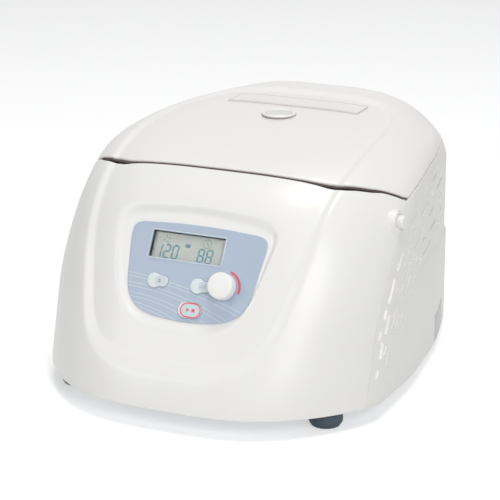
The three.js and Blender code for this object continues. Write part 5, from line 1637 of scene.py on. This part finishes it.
    def local_line(self, frame: Matrix, points: Sequence[Pair],
                   height: float) -> tuple[list[Vector], list[Vector]]:
        """Returns points at a height in a frame, and that frame's outward direction for each."""
        out = frame.to_3x3().col[2].normalized()
        return [frame @ Vector((x, y, height)) for x, y in points], [out] * len(points)

    def build_arc(self) -> bpy.types.Object:
        """Makes the red arc round the knob."""
        turns = [math.radians(a) for a in range(*self.arc_turns)]
        arc = [(self.arc_radius * math.cos(a), self.arc_radius * math.sin(a)) for a in turns]
        line, out = self.local_line(self.knob, arc, self.film_top + 0.04)
        return ribbon("knob_arc", [line], [out], self.arc_width, 0.08)

    def build_display(self) -> None:
        """Makes the display's dark frame, painted shade standing in for the shadow in the display's recess, and
        its cell, segments and the border printed round it.
        """
        w, h = self.lcd_width, self.lcd_height
        rim_across, rim_up = self.frame_rim
        # The dark frame is painted shade for the recess round the display.
        frame = prism("display_frame_painted_shade", pill(w + rim_across, h + rim_up, 1.2), *self.frame_heights, self.lcd)
        cut(frame, [prism("frame_cut", pill(w - 0.02, h - 0.02, 0.8), -6, 2, self.lcd)])
        shade_by_angle(frame, 35)
        self.kit.fit(frame, "housing", DISPLAY_SHADE_FRAME, "black")
        cell = prism("display_cell", pill(w + 1, h + 1, 0.6), *self.cell_heights, self.lcd, bevel=0.2)
        self.kit.fit(cell, "housing", DISPLAY, "lcd", ["lcd_module"])
        self.kit.fit(join("display_segments", self.digits() + self.icons()), "housing", SEGMENT, "lcd")
        line, out = self.local_line(self.lcd, pill(w + 1.6, h + 1.6, 1.6), self.film_top - 0.02)
        border = ribbon("display_border", [line], [out], 0.8, 0.12, closed=True)
        self.kit.fit(border, "housing", FILM_LINE, "film")

    def lit(self, name: str, outline: Sequence[Pair]) -> bpy.types.Object:
        """Makes one lit mark on the display's cell."""
        return prism(name, outline, *self.lit_heights, self.lcd)

    def digits(self) -> list[bpy.types.Object]:
        """Makes the seven-segment figures."""
        out = []
        for figures, x, y in self.readings:
            for k, figure in enumerate(figures):
                at = x + (k - (len(figures) - 1) / 2) * self.figure_pitch
                out += [self.segment(name, at, y) for name in self.lit_segments[figure]]
        return out

    def segment(self, name: str, x: float, y: float) -> bpy.types.Object:
        """Makes one segment of a figure, with pointed ends and a slight slant."""
        half_w, half_h, t = self.figure_width / 2, self.figure_height / 2, self.segment_line / 2
        across, up, flat = self.segment_spots[name]
        cx, cy = across * half_w, up * half_h
        run = (self.figure_width if flat else half_h) / 2 - self.segment_gap
        shape = [(-run, 0), (-run + t, -t), (run - t, -t), (run, 0), (run - t, t), (-run + t, t)]
        if not flat:
            shape = [(-b, a) for a, b in shape]
        return self.lit("segment", [(x + cx + a + self.figure_lean * (cy + b), y + cy + b) for a, b in shape])

    def icons(self) -> list[bpy.types.Object]:
        """Makes the small rotor, counter and clock marks above the figures."""
        out = []
        x, y = self.fan_at
        for turn in (20, 110, 200, 290):
            a = math.radians(turn)
            tilt = a + self.blade_tilt
            cx, cy = x + 2.2 * math.cos(a), y + 2.2 * math.sin(a)
            dx, dy = math.cos(tilt) * 1.1, math.sin(tilt) * 1.1
            px, py = -math.sin(tilt) * 0.36, math.cos(tilt) * 0.36
            corners = ((-1, -1), (1, -1), (1, 1), (-1, 1))
            out.append(self.lit("stroke", [(cx + s * dx + t * px, cy + s * dy + t * py) for s, t in corners]))
        x, y = self.blocks_at
        for k in range(3):
            out.append(self.lit("block", [(x + k * 1.5 + a, y + b) for a, b in pill(1.35, 2.9, 0.3, 3)]))
        x, y = self.clock_at
        for k in range(10):
            turns = [math.radians(36 * k + d) for d in (6, 19, 32)]
            ring = [(3.7, a) for a in turns] + [(3.05, a) for a in reversed(turns)]
            out.append(self.lit("clock", [(x + r * math.cos(a), y + r * math.sin(a)) for r, a in ring]))
        return out + [self.lit("hand", points) for points in self.clock_hands]

    def build_keys(self) -> None:
        """Makes the keys with their printed lozenges and plain marks."""
        for key, frame in self.keys:
            foot, top, inset = -key.seat, key.rise + 0.01, self.lozenge_inset
            cap = prism(key.body + "_cap", key.outline(), foot, key.rise, frame, bevel=key.edge, segments=4)
            skirt = prism(key.body + "_skirt", key.outline(self.skirt), foot - 0.4, foot + 0.6, frame)
            pad = join(key.body + "_pad", [cap, skirt])
            self.kit.fit(pad, key.body, KEY_PALE, "key", [key.body + "_key"])
            lozenge = prism(key.body + "_lozenge", key.lozenge(inset), top - 0.1, top + 0.05, frame, 0.03, 1)
            self.kit.fit(lozenge, key.body, KEY, "key")
            ink = GREY_INK
            if key.body == "start_stop":
                ink = RED_INK
                line, out = self.local_line(frame, key.lozenge(inset, 24), top + 0.06)
                ring = ribbon("start_stop_outline", [line], [out], self.outline_width, 0.08, closed=True)
                self.kit.fit(ring, key.body, ink, "key")
            self.kit.fit(self.mark(key, frame, top + 0.02), key.body, ink, "key")

    def mark(self, key: Key, frame: Matrix, height: float) -> bpy.types.Object:
        """Makes a key's plain mark: arrows, a pulse wave, or a triangle and a square."""
        mid = sum(key.lozenge_span()) / 2
        if key.body == "pulse":
            wave = [(mid + x - 0.2, y) for x, y in self.pulse_wave]
            line, out = self.local_line(frame, wave, height + 0.03)
            return ribbon("pulse_mark", [line], [out], 0.35, 0.08)
        solids = [
            prism(name, [(mid + x, y) for x, y in shape], height, height + 0.06, frame)
            for name, shape in self.key_marks[key.body]
        ]
        return join(key.body + "_mark", solids)

    def build(self) -> None:
        """Makes the whole panel."""
        self.kit.fit(self.build_film(), "housing", FILM, "film", ["panel_overlay"])
        self.kit.fit(self.build_lines(), "housing", FILM_LINE, "film")
        self.kit.fit(self.build_arc(), "housing", RED_INK, "film")
        self.build_display()
        self.build_keys()


@dataclass
class SpeedKnob:
    """The speed knob: a turned cap with a shallow dome and a soft rim. Millimetres."""

    radius: float = 10.4
    foot: float = 1.7
    height: float = 11.2
    dome: float = 0.9
    rim: float = 1.5

    def build(self, frame: Matrix) -> bpy.types.Object:
        """Makes the knob in its frame."""
        r, foot, top, dome = self.radius, self.foot, self.height, self.dome
        profile = rounded_profile([
            (0, foot, 0), (r - 0.9, foot, 0.3), (r, foot + 0.9, 0.5), (r - 0.35, top - dome, self.rim),
            (r * 0.55, top - dome * 0.28, 3.0), (0, top, 0),
        ], 8)
        return lathe("knob_cap", profile, 144, frame, sharp=50)


# Lid trim, release, feet


@dataclass
class LidTrim:
    """The round window's ring and lens, and the label strip behind it."""

    housing: Housing
    kit: Kit
    seat_z = 194.16
    ring = 13.8
    bore = 10.4
    seat = 11.8
    lens_radius = 10.1
    label_half, label_front, label_back = 57.4, 83.27, 109.27
    label_depth = 3.35
    band_margin, band_end = 0.8, 4.6

    def build_window(self) -> None:
        """Makes the ring, its gasket line and the lens."""
        at = Matrix.Translation((0, Lid.window_y, self.seat_z))
        r, b, s, lens = self.ring, self.bore, self.seat, self.lens_radius
        profile = rounded_profile([
            (b, -2.6, 0.2), (s, -2.6, 0.2), (s, 0.9, 0), (r, 0.9, 0.2), (r, 1.5, 0.5), (r - 1.1, 2.3, 0.5),
            (b + 1.3, 2.3, 0.5), (b, 1.5, 0.4),
        ], 5)
        self.kit.fit(lathe("window_bezel", profile, 128, at), "lid", LID, "lid", ["window_ring"])
        profile = [(r + 0.4, 0.2), (r + 0.4, 0.85), (r - 0.3, 1.0), (r - 0.3, 0.2)]
        self.kit.fit(lathe("window_gasket", profile, 128, at), "lid", GASKET, "rubber")
        profile = [(0, 0.35), (lens, 0.35), (lens, 1.5), (9.6, 1.9), (7, 2.05), (3.5, 2.15), (0, 2.2)]
        self.kit.fit(lathe("window_glass", profile, 96, at), "lid", LENS, "clear", ["window_lens"])

    def strip(self, name: str, half: float, front: float, back: float, depth: float,
              thick: float) -> bpy.types.Object:
        """Makes a thin strip that follows the lid.

        Args:
            name: the piece's name.
            half: half width.
            front: front edge.
            back: rear edge.
            depth: depth of its face under the skin.
            thick: thickness.
        """
        rows = spaced(back - front, 2.2, 0.25)
        cols = [2 * s - 1 for s in spaced(half * 2, 3.0, 0.25)]
        over = self.housing.skin.over
        grid = np.array([[over(half * c, front + (back - front) * r, depth) for c in cols] for r in rows])
        return Wall(grid, (0, 0, 1), thick, 0.2).build(name)

    def build_label(self) -> None:
        """Makes the bare label strip, its darker front band and its outline."""
        half, front, back, depth = self.label_half, self.label_front, self.label_back, self.label_depth
        face = self.strip("label_strip", half, front, back, depth, 0.75)
        self.kit.fit(face, "lid", LABEL, "key", ["label_film"])
        margin, end = self.band_margin, front + self.band_end
        band = self.strip("label_band", half - margin, front + margin, end, depth - 0.06, 0.1)
        self.kit.fit(band, "lid", LABEL_BAND, "key")
        corners = [(-half, front), (half, front), (half, back), (-half, back)]
        places: list[Pair] = []
        for (x0, y0), (x1, y1) in zip(corners, corners[1:] + corners[:1]):
            steps = 24 if y0 == y1 else 8
            places += [(x0 + (x1 - x0) * k / steps, y0 + (y1 - y0) * k / steps) for k in range(steps)]
        line = [self.housing.skin.over(x, y, depth - 0.02) for x, y in places]
        outline = ribbon("label_outline", [line], [[Vector((0, 0, 1))] * len(line)], 0.6, 0.14, closed=True)
        self.kit.fit(outline, "lid", LABEL_LINE, "key")

    def build(self) -> None:
        """Makes the trim."""
        self.build_window()
        self.build_label()


class ReleaseButton:
    """The lid release on the right shoulder: a collar with a slanted seat and a push button."""

    axis_y, axis_z = -24.0, 142.5
    collar_in, collar_out, collar_radius = 119.0, 134.8, 9.3
    button_in, button_out, button_radius = 122.0, 139.7, 5.2
    clearance = 0.35

    def build(self, kit: Kit) -> None:
        """Makes the collar and the button."""
        turn = Matrix.Translation((0, self.axis_y, self.axis_z)) @ Matrix.Rotation(math.pi / 2, 4, "Y")
        r, s = self.collar_radius, self.button_radius
        bore = s + self.clearance
        low, high = self.collar_in, self.collar_out
        profile = rounded_profile([(bore, low, 0.1), (r, low, 0.3), (r, high, 1.1), (bore, high, 0.4)], 6)
        kit.fit(lathe("release_seat", profile, 128, turn), "housing", SHELL, "shell", ["release_collar"])
        low, high = self.button_in, self.button_out
        profile = rounded_profile([(0, low, 0), (s, low, 0.3), (s, high, 0.9), (0, high, 0)], 6)
        kit.fit(lathe("release_cap", profile, 96, turn), "release", SHELL, "knob", ["release_button"])


class RatingPlate:
    """The bare metal rating plate on the right cheek, near its lower rear corner."""

    front, rear = 88.0, 134.0
    low, high = 8.0, 30.0
    proud = 0.3
    thickness = 0.6
    step = 2.2
    rounding = 0.15

    def build(self, side: SidePanel, kit: Kit) -> None:
        """Makes the plate, bent to the cheek."""
        cheek = side.housing.skin.cheek
        zs, ys = (
            [low + (high - low) * share for share in spaced(high - low, self.step, 0.2)]
            for low, high in ((self.low, self.high), (self.front, self.rear))
        )
        grid = np.array([[(cheek(y) + side.rise(y, z) + self.proud, y, z) for y in ys] for z in zs])
        plate = Wall(grid, (1, 0, 0), self.thickness, self.rounding).build("rating_label")
        kit.fit(plate, "housing", PLATE, "plate", ["rating_plate"])


class Feet:
    """Four rubber feet: bulging pucks, bored for their screws."""

    places = ((-105.98, -96.0, "front_left"), (105.98, -96.0, "front_right"), (-84.0, 126.0, "rear_left"),
              (84.0, 126.0, "rear_right"))
    radius = 13.0
    height = 15.7
    screw_hole = 2.8
    head_hole = 5.4
    head_depth = 3.4

    def build(self, kit: Kit) -> None:
        """Makes the feet."""
        r, hole, head = self.radius, self.screw_hole, self.head_hole
        profile = rounded_profile([
            (head, 0, 0.4), (r - 2.2, 0, 1.2), (r, 3.6, 2.6), (r, 10.2, 2.4), (r - 2.0, self.height, 0.8),
            (hole, self.height, 0.2), (hole, self.head_depth, 0), (head, self.head_depth, 0.2),
        ], 6)
        for x, y, name in self.places:
            foot = lathe("rubber_foot_" + name, profile, 96, Matrix.Translation((x, y, 0)))
            kit.fit(foot, "housing", RUBBER, "rubber", ["foot_" + name])


class Chamber:
    """The rotor chamber's bowl."""

    centre = (0.0, 45.0)
    radius = 98.0
    flange = 104.0
    hole = 12.0
    wall = 1.2

    def build(self, kit: Kit) -> None:
        """Makes the bowl's wall."""
        lo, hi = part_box("chamber_bowl")
        r, wall, hole = self.radius, self.wall, self.hole
        low, high = lo.z / MM, hi.z / MM
        profile = rounded_profile([
            (hole, low, 0.2), (r - 2, low, 8.0), (r, high - wall, 1.2), (self.flange, high - wall, 0.2),
            (self.flange, high, 0.2), (r - wall, high, 2.0), (r - wall, low + wall, 7.0),
            (hole, low + wall, 0.2),
        ], 8)
        bowl = lathe("chamber_liner", profile, 192, Matrix.Translation((*self.centre, 0)))
        kit.fit(bowl, "housing", STEEL, "steel", ["chamber_bowl"])


# Studio


class Studio:
    """Camera, lamps, world and floor."""

    azimuth = 24.274
    elevation = 17.65
    distance = 1.60216
    focal = 144.0
    target = (0.00015, 0.0, 0.0956)
    lamp_size = 1.1
    lamp_aim = (0, 0, 0.09)
    lamps = (
        ("right_key", (1.4, -1.5, 1.2), 19.4),
        ("left_fill", (-1.3, -1.7, 1.2), 8.2),
        ("top_lamp", (0.1, 0.1, 2.3), 19.6),
    )
    world_level = 0.266
    floor_size = 60.0
    floor_lift = 0.45

    @staticmethod
    def aim(name: str, data: bpy.types.ID, place: Vector, target: Vector) -> bpy.types.Object:
        """Puts a camera or lamp at a place, turned to a target."""
        obj = bpy.data.objects.new(name, data)
        obj.location = place
        obj.rotation_euler = (target - place).to_track_quat("-Z", "Y").to_euler()
        bpy.context.scene.collection.objects.link(obj)
        return obj

    def build_camera(self) -> None:
        """Places the camera at the photograph's angle."""
        data = bpy.data.cameras.new("view_camera")
        data.lens = self.focal
        data.sensor_width = 36.0
        a, e = math.radians(self.azimuth), math.radians(self.elevation)
        way = Vector((math.sin(a) * math.cos(e), -math.cos(a) * math.cos(e), math.sin(e)))
        target = Vector(self.target)
        bpy.context.scene.camera = self.aim("view_camera", data, target + self.distance * way, target)

    def build_lamps(self) -> None:
        """Places the soft lamps."""
        for name, place, power in self.lamps:
            data = bpy.data.lights.new(name, "AREA")
            data.shape = "DISK"
            data.size = self.lamp_size
            data.energy = power
            self.aim(name, data, Vector(place), Vector(self.lamp_aim))

    def unseen(self, tree: bpy.types.NodeTree) -> bpy.types.NodeSocket:
        """Returns 1 for rays from the camera, reflections and clear parts, 0 for the rest."""
        path = tree.nodes.new("ShaderNodeLightPath")
        total = path.outputs["Is Camera Ray"]
        for label in ("Is Glossy Ray", "Is Transmission Ray"):
            total = math_node(tree, "MAXIMUM", total, path.outputs[label])
        return total

    def build_world(self) -> None:
        """Makes the white backdrop and the soft light round the object."""
        world = bpy.data.worlds.new("studio")
        world.use_nodes = True
        tree = world.node_tree
        tree.nodes.clear()
        soft, white, mix, end = (tree.nodes.new("ShaderNode" + kind) for kind in (
            "Background", "Background", "MixShader", "OutputWorld"))
        soft.inputs["Color"].default_value = (0.97, 0.98, 1.0, 1)
        soft.inputs["Strength"].default_value = self.world_level
        white.inputs["Color"].default_value = (1, 1, 1, 1)
        tree.links.new(self.unseen(tree), mix.inputs[0])
        wire(tree, (soft, 0, mix, 1), (white, 0, mix, 2), (mix, 0, end, 0))
        bpy.context.scene.world = world

    def build_floor(self) -> None:
        """Makes the pale floor, which keeps the object's shadow."""
        size = self.floor_size
        floor = new_object("floor", [(-size, -size, 0), (size, -size, 0), (size, size, 0), (-size, size, 0)],
                           [(0, 1, 2, 3)], scale=1.0)
        mat = bpy.data.materials.new("floor_white")
        mat.use_nodes = True
        tree = mat.node_tree
        tree.nodes.clear()
        paper, lift, both, mix, end = (tree.nodes.new("ShaderNode" + kind) for kind in (
            "BsdfDiffuse", "Emission", "AddShader", "MixShader", "OutputMaterial"))
        paper.inputs["Color"].default_value = (0.82, 0.82, 0.82, 1)
        lift.inputs["Strength"].default_value = self.floor_lift
        tree.links.new(self.unseen(tree), mix.inputs[0])
        wire(tree, (paper, 0, both, 0), (lift, 0, both, 1), (paper, 0, mix, 1), (both, 0, mix, 2),
             (mix, 0, end, 0))
        floor.data.materials.append(mat)

    def build(self) -> None:
        """Makes the studio."""
        self.build_camera()
        self.build_lamps()
        self.build_world()
        self.build_floor()


def dress_frame(frame: dict, paint: Paint) -> None:
    """Gives each CAD node that stays in view the finish of its slot."""
    for name, node in frame["nodes"].items():
        if node.hide_render:
            continue
        slot = node.data.materials[0].name if node.data.materials and node.data.materials[0] else "side"
        paint.on(node, SLOT_FINISH.get(slot.split(".")[0], SIDE))
        LOG.info("%s keeps its solid, finish of slot %s", name, slot)


def main() -> None:
    """Builds and dresses the whole object."""
    printer = logging.StreamHandler()
    printer.setFormatter(logging.Formatter("%(name)s %(relativeCreated)d ms: %(message)s"))
    LOG.addHandler(printer)
    LOG.setLevel(logging.INFO)
    for obj in list(bpy.data.objects):
        bpy.data.objects.remove(obj)
    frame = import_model()
    bpy.context.scene.view_settings.view_transform = "Standard"
    housing = Housing()
    kit = Kit(Paint())
    panel = ControlPanel(housing, kit)
    kit.fit(FrontCasing(housing, panel.openings()).build(), "housing", SHELL, "shell", ["front_casing"])
    kit.fit(Lid(housing).build(), "lid", LID, "lid", ["lid_shell"])
    # The dark strip in the lid's front seam is painted shade.
    kit.fit(LidSeamShade(housing).build(), "lid", SEAM_SHADE_BROWN, "rubber")
    for turn, name in ((1, "side_panel_right"), (-1, "side_panel_left")):
        side = SidePanel(housing, turn)
        skin = kit.fit(side.build(), "housing", SIDE, "side", [name])
        # The faces inside the slots get the brighter painted light.
        kit.accent(skin, SLOT_PAINTED_LIGHT, side.slot_faces(skin))
    RatingPlate().build(SidePanel(housing, 1), kit)
    panel.build()
    kit.fit(SpeedKnob().build(panel.knob), "speed_knob", KNOB, "knob", ["knob"])
    LidTrim(housing, kit).build()
    ReleaseButton().build(kit)
    Feet().build(kit)
    Chamber().build(kit)
    dress_frame(frame, kit.paint)
    Studio().build()
    LOG.info("%d pieces made", kit.count)


if __name__ == "__main__":
    main()
